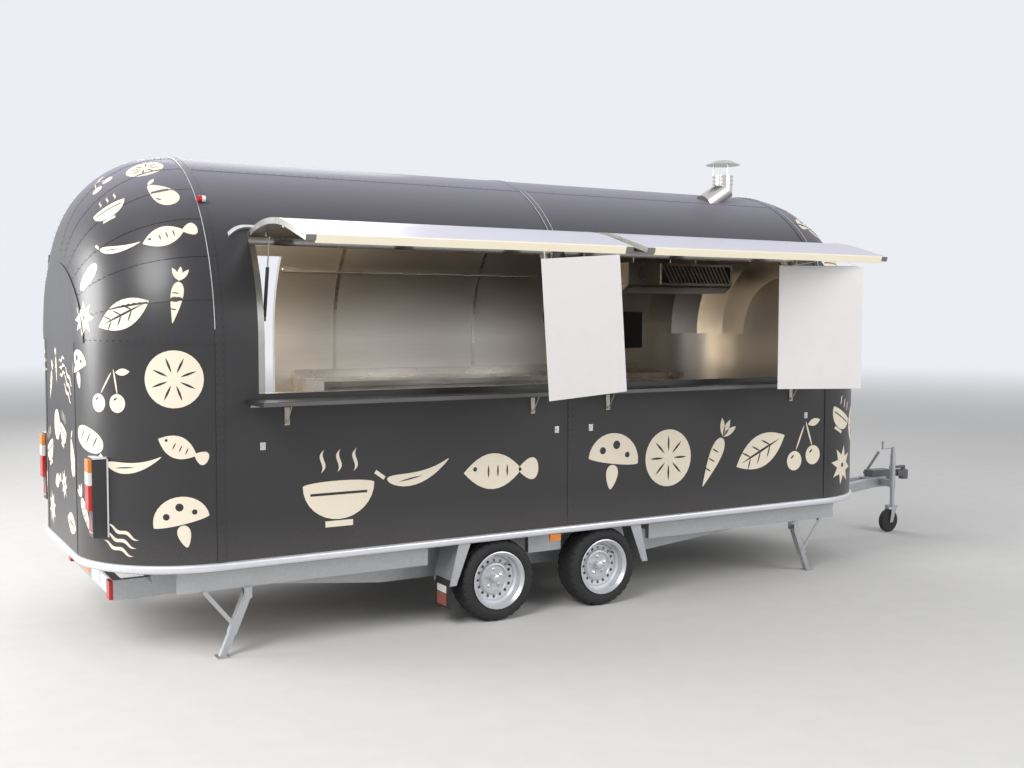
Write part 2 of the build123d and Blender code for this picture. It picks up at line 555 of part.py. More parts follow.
def wheel_solids():
    """Tyre and steel wheel about the Y axis, outer face towards -Y, centred on the origin."""
    half = TYRE_WIDTH / 2
    bead = half - 12
    tyre_face = make_face(
        Polyline(
            # radius, Y
            (RIM_RADIUS - 4, -bead), (RIM_RADIUS + 12, -half + 2), (RIM_RADIUS + 38, -half),
            (TYRE_RADIUS - 14, -half + 10), (TYRE_RADIUS, -half + 32), (TYRE_RADIUS, half - 32),
            (TYRE_RADIUS - 14, half - 10), (RIM_RADIUS + 38, half), (RIM_RADIUS + 12, half - 2),
            (RIM_RADIUS - 4, bead),
            (RIM_RADIUS - 14, bead), (RIM_RADIUS - 14, -bead), close=True,
        )
    )
    rim_face = make_face(
        Polyline(
            # radius, Y
            (RIM_RADIUS - 14.3, -bead - 0.3), (RIM_RADIUS - 4.3, -bead - 0.3), (RIM_RADIUS + 2, -bead - 10),
            (RIM_RADIUS - 4, -bead - 12), (RIM_RADIUS - 19, -bead + 6), (RIM_RADIUS - 20, -30),
            (RIM_RADIUS - 34, -18), (RIM_RADIUS - 34, 30), (RIM_RADIUS - 19, bead - 6),
            (RIM_RADIUS - 4, bead + 12), (RIM_RADIUS + 2, bead + 10), (RIM_RADIUS - 4.3, bead + 0.3),
            (RIM_RADIUS - 14.3, bead + 0.3), close=True,
        )
    )
    disc_face = make_face(
        Polyline(
            # radius, Y
            (RIM_RADIUS - 33, -18), (RIM_RADIUS - 46, -24), (108, -20), (98, -34), (88, -36),
            (78, -22), (28, -20), (28, -12), (110, -12), (RIM_RADIUS - 34, -6), close=True,
        )
    )
    hub_face = make_face(
        Polyline(
            # radius, Y
            (STUB_RADIUS + STUB_CLEARANCE, -44), (30, -44), (30, -14), (95, -14), (95, 58),
            (STUB_RADIUS + STUB_CLEARANCE, 58), close=True,
        )
    )
    tyre, rim, disc, hub = [revolve(face, Axis.Y, 360) for face in (tyre_face, rim_face, disc_face, hub_face)]
    cap = Pos(0, -44, 0) * Rot(90, 0, 0) * Cylinder(28, 14, align=(Align.CENTER, Align.CENTER, Align.MIN))
    cap = chamfer(cap.edges().group_by(Axis.Y)[0], 7)
    wheel = rim + disc + hub + cap
    for number in range(RIM_HOLES):
        angle = radians(360 / RIM_HOLES * number)
        x, z = RIM_HOLE_CIRCLE * cos(angle), RIM_HOLE_CIRCLE * sin(angle)
        wheel = wheel - rod((x, -60, z), (x, 2, z), RIM_HOLE_RADIUS)
    return tyre, wheel


tyre, wheel = wheel_solids()
for side_name, side in SIDES.items():
    for axle_name, axle_x in AXLES.items():
        for kind, shape in (("tyre", tyre), ("wheel", wheel)):
            placed = shape if side < 0 else mirror(shape, Plane.XZ)
            add(f"{kind}_{axle_name}_{side_name}", Pos(axle_x, side * WHEEL_Y, TYRE_RADIUS) * placed)

# Mudguard plates before and behind the wheels, folded to an outer flange, and the flaps behind
def guard_x(z):
    """X of the rear guard's back face, which leans away from the wheel as it goes down."""
    return -WHEEL_BOX_HALF_LENGTH - GUARD_LEAN * (FRAME_TOP_Z - z) / (FRAME_TOP_Z - GUARD_BOTTOM_Z)


guards, flaps = [], []
guard_inner_y = WHEEL_BOX_INNER_Y + SHEET
for side in (-1, 1):
    top, bottom = guard_x(FRAME_TOP_Z), guard_x(GUARD_BOTTOM_Z)
    sheet = [
        (top, FRAME_TOP_Z), (bottom, GUARD_BOTTOM_Z),
        (bottom + SHEET, GUARD_BOTTOM_Z), (top + SHEET, FRAME_TOP_Z),
    ]
    flange = [
        (top, FRAME_TOP_Z), (bottom, GUARD_BOTTOM_Z),
        (bottom + GUARD_FLANGE_BOTTOM, GUARD_BOTTOM_Z), (top + GUARD_FLANGE_TOP, FRAME_TOP_Z),
    ]
    guard = side_view(sheet, side * (GUARD_OUTER_Y + guard_inner_y) / 2, GUARD_OUTER_Y - guard_inner_y)
    guard = guard + side_view(flange, side * (GUARD_OUTER_Y - SHEET / 2), SHEET)
    guards += [guard, mirror(guard, Plane.YZ)]
    flap = [
        (guard_x(FLAP_TOP_Z), FLAP_TOP_Z), (bottom, GUARD_BOTTOM_Z), (bottom, FLAP_BOTTOM_Z),
        (bottom - 6, FLAP_BOTTOM_Z), (bottom - 6, GUARD_BOTTOM_Z), (guard_x(FLAP_TOP_Z) - 6, FLAP_TOP_Z),
    ]
    flaps.append(side_view(flap, side * (WHEEL_Y + 6), 180))
NODES["mudguards"] = Compound(children=guards)
NODES["mud_flaps"] = Compound(children=flaps)

# Rear lamp boxes on the round corners, the lamps on the rear bar and the marker lamps
boxes, red_lamps = [], []
body_slab = plan(FIT, 600, 700)
for side in (-1, 1):
    y0, y1 = sorted((side * (PLATE_RADIUS + 235), side * (PLATE_RADIUS + 350)))
    boxes.append(block(REAR_X + 22, REAR_X + 210, y0, y1, 713, 1150) - body_slab)
    y0, y1 = sorted((side * 560, side * 635))
    red_lamps.append(block(REAR_BAR_X - 22, REAR_BAR_X, y0, y1, REAR_BAR_Z - 54, REAR_BAR_Z + 54))
NODES["lamp_boxes"] = Compound(children=boxes)
lenses = []
for side in (-1, 1):
    y0, y1 = sorted((side * (PLATE_RADIUS + 245), side * (PLATE_RADIUS + 340)))
    lenses.append(block(REAR_X + 2, REAR_X + 22, y0, y1, 860, 1140))
marker_y, marker_z = arch_point(45, BODY_HALF_WIDTH + SEAM_STRIP_PROUD + 18)
markers = []
for side in (-1, 1):
    ends = [(x, side * marker_y, marker_z) for x in (REAR_SEAM_X - 22, REAR_SEAM_X + 22)]
    markers.append(rod(*ends, 18))
    y0, y1 = sorted((side * (BODY_HALF_WIDTH - 6), side * (BODY_HALF_WIDTH + 14)))
    markers.append(block(-40, 40, y0, y1, trim_z - 42, trim_z))
NODES["lamps"] = Compound(children=lenses + red_lamps + markers)

# Chimney: roof flange, elbow, ribbed pipe, three cap legs and the rain cap
flange_z = sqrt(BODY_HALF_WIDTH**2 - CHIMNEY_Y**2) + WAIST_Z
bend = Vector(CHIMNEY_X, CHIMNEY_Y, flange_z + 80)
rise = Vector(CHIMNEY_X - CHIMNEY_FLANGE_X, 0, 110)
mitre = Plane(bend, z_dir=rise.normalized() + Vector(0, 0, 1))
lower = split(rod(bend - rise, bend + rise, CHIMNEY_RADIUS), mitre, keep=Keep.BOTTOM)
pipe = rod(bend - Vector(0, 0, 150), Vector(CHIMNEY_X, CHIMNEY_Y, CHIMNEY_TOP_Z - 110), CHIMNEY_RADIUS)
chimney = lower + split(pipe, mitre, keep=Keep.TOP)
for number in range(3):
    rib = Pos(CHIMNEY_X, CHIMNEY_Y, CHIMNEY_TOP_Z - 176 + number * 28) * Cylinder(CHIMNEY_RADIUS + 5, 8)
    chimney = chimney + rib
for number in range(3):
    angle = radians(20 + 120 * number)
    x, y = CHIMNEY_X + 70 * cos(angle), CHIMNEY_Y + 70 * sin(angle)
    chimney = chimney + rod((x, y, CHIMNEY_TOP_Z - 130), (x, y, CHIMNEY_TOP_Z - 24), 5)
cap = Pos(CHIMNEY_X, CHIMNEY_Y, CHIMNEY_TOP_Z - 15) * Cone(CHIMNEY_CAP_RADIUS, 70, 30)
chimney = chimney + cap
roof_core = extrude(Plane.YZ.offset(1000) * (Pos(0, WAIST_Z) * Circle(BODY_HALF_WIDTH)), 1400)
add("chimney", chimney - roof_core - front_service_strip)

# Service side: sheet-metal kitchen
WORKTOP_Z = 1450
service_y = (45 - INNER_RADIUS, 440 - INNER_RADIUS)
far_y = (INNER_RADIUS - 650, INNER_RADIUS - 5)
add(
    "worktops",
    block(WINDOW_REAR_X + 60, WINDOW_FRONT_X - 60, *service_y, WORKTOP_Z - 40, WORKTOP_Z),
    block(WINDOW_REAR_X + 60, WINDOW_REAR_X + 90, *service_y, FLOOR_TOP_Z, WORKTOP_Z),
    block(WINDOW_FRONT_X - 90, WINDOW_FRONT_X - 60, *service_y, FLOOR_TOP_Z, WORKTOP_Z),
    block(-960, 2300, *far_y, WORKTOP_Z - 40, WORKTOP_Z),
    block(-960, 2300, INNER_RADIUS - 20, INNER_RADIUS - 1, WORKTOP_Z, WORKTOP_Z + 60),
    block(-960, -930, *far_y, FLOOR_TOP_Z, WORKTOP_Z),
)
add("appliances", block(-920, 2290, INNER_RADIUS - 610, INNER_RADIUS - 210, FLOOR_TOP_Z, WORKTOP_Z - 41))
hood_outer = [(380, 2120), (280, 2180), (280, 2360), (700, 2360), (700, 2120)]
hood_inner = [(390, 2100), (283, 2182), (283, 2357), (697, 2357), (697, 2100)]
hood_x0, hood_x1 = 1600, 2700
hood = extrude(Plane.YZ.offset(hood_x0) * make_face(Polyline(*hood_outer, close=True)), hood_x1 - hood_x0)
hollow = Plane.YZ.offset(hood_x0 + 3) * make_face(Polyline(*hood_inner, close=True))
hood = hood - extrude(hollow, hood_x1 - hood_x0 - 6)
for x in (hood_x0 + 80, FRONT_SEAM_X - 80):
    for y in (320, 660):
        ceiling_z = WAIST_Z + sqrt(INNER_RADIUS**2 - (y + 6) ** 2)
        hood = hood + rod((x, y, 2358), (x, y, ceiling_z - FIT), 6)
add("range_hood", hood)
rail_y, rail_z = arch_point(27, INNER_RADIUS - 20, 1)
wall_y, wall_z = arch_point(27, INNER_RADIUS - FIT, 1)
standoffs = [rod((x, rail_y, rail_z), (x, wall_y, wall_z), 8) for x in (-1070, 210, 1580)]
add("wall_rail", rod((-1080, rail_y, rail_z), (1590, rail_y, rail_z), 10), *standoffs)
add(
    "screen",
    block(1780, 2300, INNER_RADIUS - 60, INNER_RADIUS - 25, 1640, 1960),
    block(1980, 2100, INNER_RADIUS - 30, INNER_RADIUS - FIT, 1660, 1740),
)

# Hatches: curved shells, modelled shut and turned up about their hinge line
hatch_top = HINGE_ANGLE - degrees(HATCH_GAP / BODY_HALF_WIDTH)
hatch_inner = BODY_HALF_WIDTH - HATCH_THICKNESS
head_y, head_z = arch_point(STRUT_HEAD_ANGLE, STRUT_HEAD_RADIUS)
shut_vector = Vector(0, head_y - STRUT_FOOT_Y, head_z - STRUT_FOOT_Z)
hinge_to_head = Vector(0, head_y - hinge_y, head_z - hinge_z)
head_now = Vector(0, hinge_y, hinge_z) + hinge_to_head.rotate(Axis.X, -HATCH_OPEN)
open_vector = head_now - Vector(0, STRUT_FOOT_Y, STRUT_FOOT_Z)
strut_open, strut_shut = open_vector.length, shut_vector.length
strut_dir = open_vector.normalized()
for name, (x0, x1) in WINDOWS.items():
    a, b = x0 + HATCH_GAP, x1 - HATCH_GAP
    hatch = block(a, b, -BODY_HALF_WIDTH, -hatch_inner, SILL_Z + HATCH_GAP, WAIST_Z)
    hatch = hatch + arch_band(a, b, hatch_inner, BODY_HALF_WIDTH, 0, hatch_top)
    for x in knuckle_places(name):
        hatch = hatch + hinge_leaf(x - 60, x - 1, hatch_top - 2.5, HINGE_ANGLE)
        hatch = hatch - rod((x - 61, hinge_y, hinge_z), (x, hinge_y, hinge_z), HINGE_PIN + 0.05)
    strut_xs = (x0 + FRAME_LIP + STRUT_INSET, x1 - FRAME_LIP - STRUT_INSET)
    lug_y, lug_z = arch_point(STRUT_HEAD_ANGLE, hatch_inner + 2)
    for x, away in zip(strut_xs, (-1, 1)):
        stud_x = x + away * 15
        hatch = hatch + rod((stud_x, lug_y, lug_z), (stud_x, head_y, head_z), 6)
        hatch = hatch + rod((stud_x, head_y, head_z), (x + away * 5.3, head_y, head_z), 5)
    add(f"hatch_{name}", hinge_turn(hatch, hinge_y, hinge_z, -HATCH_OPEN))
    tubes, rods = [], []
    foot = Vector(0, STRUT_FOOT_Y, STRUT_FOOT_Z)
    head = foot + strut_dir * strut_open
    for x in strut_xs:
        at = Vector(x, 0, 0)
        tube = rod(at + foot + strut_dir * 14, at + foot + strut_dir * STRUT_TUBE_LENGTH, STRUT_TUBE_RADIUS)
        bore_ends = [at + foot + strut_dir * along for along in (22, STRUT_TUBE_LENGTH + 5)]
        bore = rod(*bore_ends, STRUT_ROD_RADIUS + 0.5)
        eye = rod(at + foot - Vector(7, 0, 0), at + foot + Vector(7, 0, 0), 9)
        tube = tube + rod(at + foot, at + foot + strut_dir * 16, 6) + eye
        pin_hole = rod(at + foot - Vector(8, 0, 0), at + foot + Vector(8, 0, 0), STRUT_PIN_RADIUS + 0.05)
        tubes.append(tube - bore - pin_hole)
        rod_start = STRUT_TUBE_LENGTH - STRUT_ROD_OVERLAP
        strut_rod = rod(at + foot + strut_dir * rod_start, at + head, STRUT_ROD_RADIUS)
        rods.append(strut_rod + rod(at + head - Vector(5, 0, 0), at + head + Vector(5, 0, 0), 8))
    NODES[f"strut_tubes_{name}"] = Compound(children=tubes)
    NODES[f"strut_rods_{name}"] = Compound(children=rods)

# Counters: fold-down shelves on wall hinges, their bracket plates and arms
counter_low_z = COUNTER_TOP_Z - COUNTER_THICKNESS
counter_axis_y = -BODY_HALF_WIDTH - COUNTER_AXIS_OUT
counter_axis_z = counter_low_z - COUNTER_KNUCKLE - FIT
fixings = []
arm_y = -BODY_HALF_WIDTH - BRACKET_PLATE - 8
arm_z = counter_low_z - BRACKET_PIVOT_DROP
arm_rise = BRACKET_PIVOT_DROP - 8
arm_reach = sqrt(BRACKET_ARM**2 - arm_rise**2)
for name, (x0, x1) in WINDOWS.items():
    a = x0 - COUNTER_END_OUT if name == "rear" else x0 + COUNTER_END_IN
    b = x1 - COUNTER_END_IN if name == "rear" else x1 + COUNTER_END_OUT
    shelf_y = (-BODY_HALF_WIDTH - COUNTER_EDGE_OUT - COUNTER_DEPTH, -BODY_HALF_WIDTH - COUNTER_EDGE_OUT)
    add(f"counter_{name}", block(a, b, *shelf_y, counter_low_z, COUNTER_TOP_Z))
    leaf = block(
        a + 20, b - 20, counter_axis_y, -BODY_HALF_WIDTH, counter_axis_z - 2, counter_axis_z + 2
    ) + block(a + 20, b - 20, -BODY_HALF_WIDTH - 3, -BODY_HALF_WIDTH, counter_axis_z - 14, counter_axis_z + 2)
    knuckle = rod(
        (a + 20, counter_axis_y, counter_axis_z), (b - 20, counter_axis_y, counter_axis_z), COUNTER_KNUCKLE
    )
    fixings.append(leaf + knuckle)
    arms_here = []
    for x in (a + BRACKET_INSET, b - BRACKET_INSET):
        half = BRACKET_WIDTH / 2
        plate_top = counter_axis_z - 20
        bracket = block(
            x - half, x + half, -BODY_HALF_WIDTH - BRACKET_PLATE, -BODY_HALF_WIDTH,
            plate_top - BRACKET_HEIGHT, plate_top,
        )
        for low, high in ((x - 9, x - 5), (x + 5, x + 9)):
            bracket = bracket + block(low, high, arm_y - 5, -BODY_HALF_WIDTH, arm_z - 7, arm_z + 7)
        fixings.append(bracket + rod((x - 9, arm_y, arm_z), (x + 9, arm_y, arm_z), BRACKET_PIN))
        arm = rod((x, arm_y, arm_z), (x, arm_y - arm_reach, arm_z + arm_rise), 3.5)
        arm = arm + rod((x - 4.5, arm_y, arm_z), (x + 4.5, arm_y, arm_z), 5)
        arms_here.append(arm - rod((x - 9, arm_y, arm_z), (x + 9, arm_y, arm_z), BRACKET_PIN + 0.05))
    NODES[f"bracket_arms_{name}"] = Compound(children=arms_here)
NODES["bracket_plates"] = Compound(children=fixings)

# Entrance door, modelled shut and swung open about its rear edge
door = block(
    DOOR_REAR_X + DOOR_GAP, DOOR_FRONT_X - DOOR_GAP, INNER_RADIUS, BODY_HALF_WIDTH, DOOR_BOTTOM_Z, WAIST_Z
)
door = door + (
    arch_band(
        DOOR_REAR_X + DOOR_GAP, DOOR_FRONT_X - DOOR_GAP, INNER_RADIUS, BODY_HALF_WIDTH,
        180 - DOOR_TOP_ANGLE - 5, 180,
    )
    & block(DOOR_REAR_X, DOOR_FRONT_X, 0, OUT_Y, WAIST_Z, door_top - DOOR_GAP)
)
handle_x, handle_y = DOOR_FRONT_X - 90, BODY_HALF_WIDTH + 32
door = door + rod((handle_x, handle_y, 1440), (handle_x, handle_y, 1560), 9)
for z in (1450, 1550):
    door = door + rod((handle_x, BODY_HALF_WIDTH - 2, z), (handle_x, handle_y, z), 8)
for z in DOOR_HINGES:
    leaf = block(DOOR_REAR_X, DOOR_REAR_X + 50, BODY_HALF_WIDTH - 1, door_axis_y - 7, z - 40, z + 40)
    at_hinge = Pos(DOOR_REAR_X, door_axis_y, z)
    door = door + leaf + at_hinge * Cylinder(8, 80)
    door = door - at_hinge * Cylinder(HINGE_PIN + 0.05, 100)
add("door", door.rotate(Axis((DOOR_REAR_X, door_axis_y, 0), (0, 0, 1)), DOOR_OPEN))

# Prop legs and their stays
lean = radians(LEG_LEAN)
leg_down = Vector(sin(lean), 0, -cos(lean))
leg_length = LEG_PIVOT_Z / cos(lean)
STAY_Y = LEG_Y + LEG_TUBE / 2 + 3.5
stay_pin = Vector(LEG_PIVOT_X, 0, LEG_PIVOT_Z) + leg_down * STAY_PIN_DOWN
stay_eye = Vector(STAY_EYE_X, 0, STAY_EYE_Z)


def prop_leg(side):
    """Front prop leg leaning forward to the ground, in its parked place."""
    pivot = Vector(LEG_PIVOT_X, side * LEG_Y, LEG_PIVOT_Z)
    plane = Plane(pivot, x_dir=(0, 1, 0), z_dir=leg_down)
    leg = extrude(plane * Rectangle(LEG_TUBE, LEG_TUBE), leg_length * 0.62)
    leg = leg + extrude(plane * Rectangle(LEG_TUBE - 10, LEG_TUBE - 10), leg_length + 30)
    leg = leg + rod(pivot - Vector(0, 32, 0), pivot + Vector(0, 32, 0), LEG_PIN_RADIUS)
    foot = pivot + leg_down * leg_length
    leg = leg + block(foot.X - 35, foot.X + 35, foot.Y - 40, foot.Y + 40, 0, 8)
    leg = leg & block(foot.X - 500, foot.X + 500, foot.Y - 100, foot.Y + 100, 0, 600)
    pin = Vector(stay_pin.X, side * LEG_Y, stay_pin.Z)
    return leg + rod(pin, pin + Vector(0, side * (LEG_TUBE / 2 + 8), 0), STAY_PIN_RADIUS)


def prop_stay(side):
    """Flat stay from the leg's pin up to the side beam, beside the leg."""
    along = stay_eye - stay_pin
    middle = stay_pin + along * 0.5
    plane = Plane((middle.X, side * STAY_Y, middle.Z), x_dir=along, z_dir=(0, 1, 0))
    bar = extrude(plane * SlotOverall(along.length + 24, 24), 2.5, both=True)
    pin = Vector(stay_pin.X, side * STAY_Y, stay_pin.Z)
    return bar - rod(pin - Vector(0, 5, 0), pin + Vector(0, 5, 0), STAY_PIN_RADIUS + 0.05)


for name, maker in {"prop_legs": prop_leg, "leg_stays": prop_stay}.items():
    front = [maker(side) for side in (-1, 1)]
    rear = [mirror(shape, Plane.YZ.offset(BODY_MID_X)) for shape in front]
    NODES[name] = Compound(children=front + rear)

# Jockey wheel: clamp and tube on the drawbar, column, fork and wheel
column_top = 760
tube = rod((JOCKEY_X, JOCKEY_Y, 390), (JOCKEY_X, JOCKEY_Y, column_top - 60), JOCKEY_TUBE_RADIUS)
bore = rod((JOCKEY_X, JOCKEY_Y, 340), (JOCKEY_X, JOCKEY_Y, column_top), JOCKEY_COLUMN_RADIUS + 0.1)
clamp = block(JOCKEY_X - 30, JOCKEY_X + 30, JOCKEY_Y - 10, -62, COUPLING_Z - 30, COUPLING_Z + 30)
add("jockey_tube", tube + clamp - bore)
column = rod((JOCKEY_X, JOCKEY_Y, 235), (JOCKEY_X, JOCKEY_Y, column_top), JOCKEY_COLUMN_RADIUS)
crank_x = JOCKEY_X - 130
crank = rod((JOCKEY_X, JOCKEY_Y, column_top - 8), (crank_x, JOCKEY_Y, column_top - 8), 7)
grip = rod((crank_x, JOCKEY_Y, column_top - 14), (crank_x, JOCKEY_Y, column_top + 60), 10)
add("jockey_column", column, crank, grip)
wheel_x = JOCKEY_X - JOCKEY_TRAIL
fork = block(JOCKEY_X - 40, JOCKEY_X + 30, JOCKEY_Y - 42, JOCKEY_Y + 42, 222, 234.7)
for side in (-1, 1):
    y = JOCKEY_Y + side * 38
    fork = fork + side_view(
        [(JOCKEY_X - 40, 234), (JOCKEY_X + 20, 234), (wheel_x + 18, 88), (wheel_x - 18, 88)], y, 6
    )
fork = fork + rod((wheel_x, JOCKEY_Y - 41, 100), (wheel_x, JOCKEY_Y + 41, 100), 8)
add("jockey_fork", fork)
jockey_disc = rod(
    (wheel_x, JOCKEY_Y - JOCKEY_WHEEL_WIDTH / 2, 100), (wheel_x, JOCKEY_Y + JOCKEY_WHEEL_WIDTH / 2, 100),
    JOCKEY_WHEEL_RADIUS,
)
jockey_disc = chamfer(jockey_disc.edges(), 8)
jockey_disc = jockey_disc - rod((wheel_x, JOCKEY_Y - 60, 100), (wheel_x, JOCKEY_Y + 60, 100), 8.05)
add("jockey_wheel", jockey_disc)

for name, shape in NODES.items():
    export_step(shape, f"parts/{name}.step")
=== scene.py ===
from math import atan2, cos, degrees, hypot, pi, radians, sin

import bmesh
import bpy
from mathutils import Euler, Matrix, Quaternion, Vector


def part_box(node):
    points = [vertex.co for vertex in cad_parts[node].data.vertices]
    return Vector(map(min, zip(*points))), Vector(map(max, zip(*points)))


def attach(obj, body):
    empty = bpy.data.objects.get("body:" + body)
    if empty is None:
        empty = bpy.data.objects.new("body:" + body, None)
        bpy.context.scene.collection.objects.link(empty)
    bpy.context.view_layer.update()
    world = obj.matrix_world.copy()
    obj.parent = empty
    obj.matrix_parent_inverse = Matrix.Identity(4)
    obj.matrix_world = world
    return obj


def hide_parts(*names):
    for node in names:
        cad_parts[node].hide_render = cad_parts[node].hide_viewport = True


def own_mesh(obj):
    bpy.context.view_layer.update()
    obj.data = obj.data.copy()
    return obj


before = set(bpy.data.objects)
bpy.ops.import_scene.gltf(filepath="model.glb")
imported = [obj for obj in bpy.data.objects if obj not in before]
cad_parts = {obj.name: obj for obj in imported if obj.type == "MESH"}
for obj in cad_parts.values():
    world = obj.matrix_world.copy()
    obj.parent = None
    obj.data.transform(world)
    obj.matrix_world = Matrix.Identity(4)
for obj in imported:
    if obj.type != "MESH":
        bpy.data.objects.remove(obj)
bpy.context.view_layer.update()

# Viewpoint: a normal lens just above eye height, off the rear corner on the
# serving side, aimed some 3 degrees down
view_azimuth, view_pitch, view_roll = radians(-30.604), radians(3.393), radians(0.145)
camera = bpy.data.objects.new("camera", bpy.data.cameras.new("camera"))
bpy.context.scene.collection.objects.link(camera)
camera.data.sensor_width = 36
camera.data.lens = 40.72
camera.data.clip_end = 900
backwards = Vector((
    sin(view_azimuth) * cos(view_pitch), -cos(view_azimuth) * cos(view_pitch), sin(view_pitch)
))
camera.location = (-4.003, -7.344, 1.928)
camera.rotation_mode = "QUATERNION"
camera.rotation_quaternion = (-backwards).to_track_quat("-Z", "Y") @ Quaternion((0, 0, 1), view_roll)
bpy.context.scene.camera = camera
bpy.context.scene.view_settings.view_transform = "Standard"

# Studio: pale matt floor that fades into an even pale surround, four broad lamps
# round the trailer and one small warm lamp in the cabin
def new_material(name):
    """A material with its node tree, and a way to add and join nodes."""
    material = bpy.data.materials.new(name)
    material.use_nodes = True
    tree = material.node_tree
    shader = tree.nodes["Principled BSDF"]

    def node(kind, inputs=(), **settings):
        made = tree.nodes.new(kind)
        for key, value in settings.items():
            setattr(made, key, value)
        for key, value in dict(inputs).items():
            if isinstance(value, bpy.types.NodeSocket):
                tree.links.new(value, made.inputs[key])
            else:
                made.inputs[key].default_value = value
        return made

    def maths(operation, *values):
        return node("ShaderNodeMath", dict(enumerate(values)), operation=operation).outputs[0]

    def mix(share, first, second):
        made = node("ShaderNodeMix", data_type="RGBA")
        for socket, value in zip((made.inputs[0], made.inputs[6], made.inputs[7]), (share, first, second)):
            if isinstance(value, bpy.types.NodeSocket):
                tree.links.new(value, socket)
            else:
                socket.default_value = value
        return made.outputs[2]

    place = node("ShaderNodeTexCoord").outputs["Object"]
    return material, tree, shader, node, maths, mix, place


def finish_mesh(bm, name, material):
    """Object from a bmesh, standing at the origin with its place in its mesh."""
    bmesh.ops.remove_doubles(bm, verts=bm.verts, dist=1e-6)
    mesh = bpy.data.meshes.new(name)
    bm.to_mesh(mesh)
    bm.free()
    mesh.materials.append(material)
    made = bpy.data.objects.new(name, mesh)
    bpy.context.scene.collection.objects.link(made)
    return made


SURROUND, SEEN_LEVEL, LIT_LEVEL = (0.93, 0.95, 1.0), 0.90, 0.58
FADE_START, FADE_END, FLOOR_HALF = 9.0, 42.0, 400
floor_paint, tree, shader, node, maths, mix, place = new_material("studio_floor")
grain = node("ShaderNodeTexNoise", {"Vector": place, "Scale": 6.0, "Detail": 6.0})
floor_colour = mix(grain.outputs["Fac"], (0.62, 0.61, 0.59, 1), (0.68, 0.67, 0.65, 1))
shader.inputs["Roughness"].default_value = 0.85
shader.inputs["Specular IOR Level"].default_value = 0.0
away = node("ShaderNodeVectorMath", {0: place}, operation="LENGTH").outputs["Value"]
fade = node(
    "ShaderNodeMapRange", {"Value": away, "From Min": FADE_START, "From Max": FADE_END},
    interpolation_type="SMOOTHSTEP",
)
tree.links.new(mix(fade.outputs[0], floor_colour, (0, 0, 0, 1)), shader.inputs["Base Color"])
shader.inputs["Emission Color"].default_value = (*SURROUND, 1)
tree.links.new(maths("MULTIPLY", fade.outputs[0], SEEN_LEVEL), shader.inputs["Emission Strength"])
bm = bmesh.new()
bmesh.ops.create_grid(bm, x_segments=1, y_segments=1, size=FLOOR_HALF)
studio_floor = finish_mesh(bm, "studio_floor", floor_paint)

world = bpy.data.worlds.new("studio")
world.use_nodes = True
bpy.context.scene.world = world
world_nodes, world_links = world.node_tree.nodes, world.node_tree.links
surround = world_nodes["Background"]
ray = world_nodes.new("ShaderNodeLightPath")
seen = world_nodes.new("ShaderNodeMath")
seen.operation = "MAXIMUM"
world_links.new(ray.outputs["Is Camera Ray"], seen.inputs[0])
world_links.new(ray.outputs["Is Glossy Ray"], seen.inputs[1])
level = world_nodes.new("ShaderNodeMapRange")
level.inputs["To Min"].default_value = LIT_LEVEL
level.inputs["To Max"].default_value = SEEN_LEVEL
world_links.new(seen.outputs[0], level.inputs["Value"])
world_links.new(level.outputs[0], surround.inputs["Strength"])
surround.inputs["Color"].default_value = (*SURROUND, 1)

NEUTRAL, WARM = (1, 1, 1), (1, 0.84, 0.64)
for name, spot, aim, size, power in (
    ("key", (-9, -6, 9), (-1, 0, 1.4), 6, 1000),
    ("fill", (6, -10, 6), (0.5, 0, 1.2), 7, 420),
    ("back", (2, 11, 8), (0, 0, 1.5), 6, 420),
    ("end", (-9, 3.5, 3.2), (-2.6, 0, 1.4), 4.5, 620),
    ("cabin", (-1.6, -0.35, 2.45), (-1.5, 0.9, 1.6), 0.8, 60),
):
    lamp = bpy.data.objects.new(name, bpy.data.lights.new(name, "AREA"))
    lamp.data.shape = "DISK"
    lamp.data.size = size
    lamp.data.energy = power
    lamp.data.color = WARM if name == "cabin" else NEUTRAL
    lamp.location = spot
    lamp.rotation_mode = "QUATERNION"
    lamp.rotation_quaternion = (Vector(aim) - Vector(spot)).to_track_quat("-Z", "Y")
    bpy.context.scene.collection.objects.link(lamp)

# Body skin: charcoal satin paint on riveted aluminium sheet outside, brushed
# stainless lining inside. The skin's own outline tells the two sides apart.
# Towards the roof crown the paint is lightened to a lavender grey as a painted
# reflection of the bright sky.
WAIST, HALF_WIDTH, CORNER, MIDDLE_X, STRAIGHT, PAINT_DEPTH = 1.77, 1.12, 0.64, 0.12, 2.29, 0.0015
REAR_SEAM, FRONT_SEAM = MIDDLE_X - STRAIGHT, MIDDLE_X + STRAIGHT
PAINT_DARK, PAINT_LIGHT = (0.019, 0.018, 0.019), (0.030, 0.028, 0.029)
# Next line: the lavender grey painted towards the roof crown as a reflection of the bright sky, and the
# heights over which it grows
ROOF_SKY_SHEEN, SKY_SHEEN_Z = (0.36, 0.35, 0.42), (2.30, 2.90)
ROAD_DUST, DUST_Z = (0.16, 0.145, 0.13), (0.56, 0.80)
LINING_DARK, LINING_LIGHT = (0.50, 0.475, 0.44), (0.68, 0.65, 0.61)
HATCH_HINGE, HATCH_TURN = Vector((0, -0.93681, 2.40189)), radians(74)


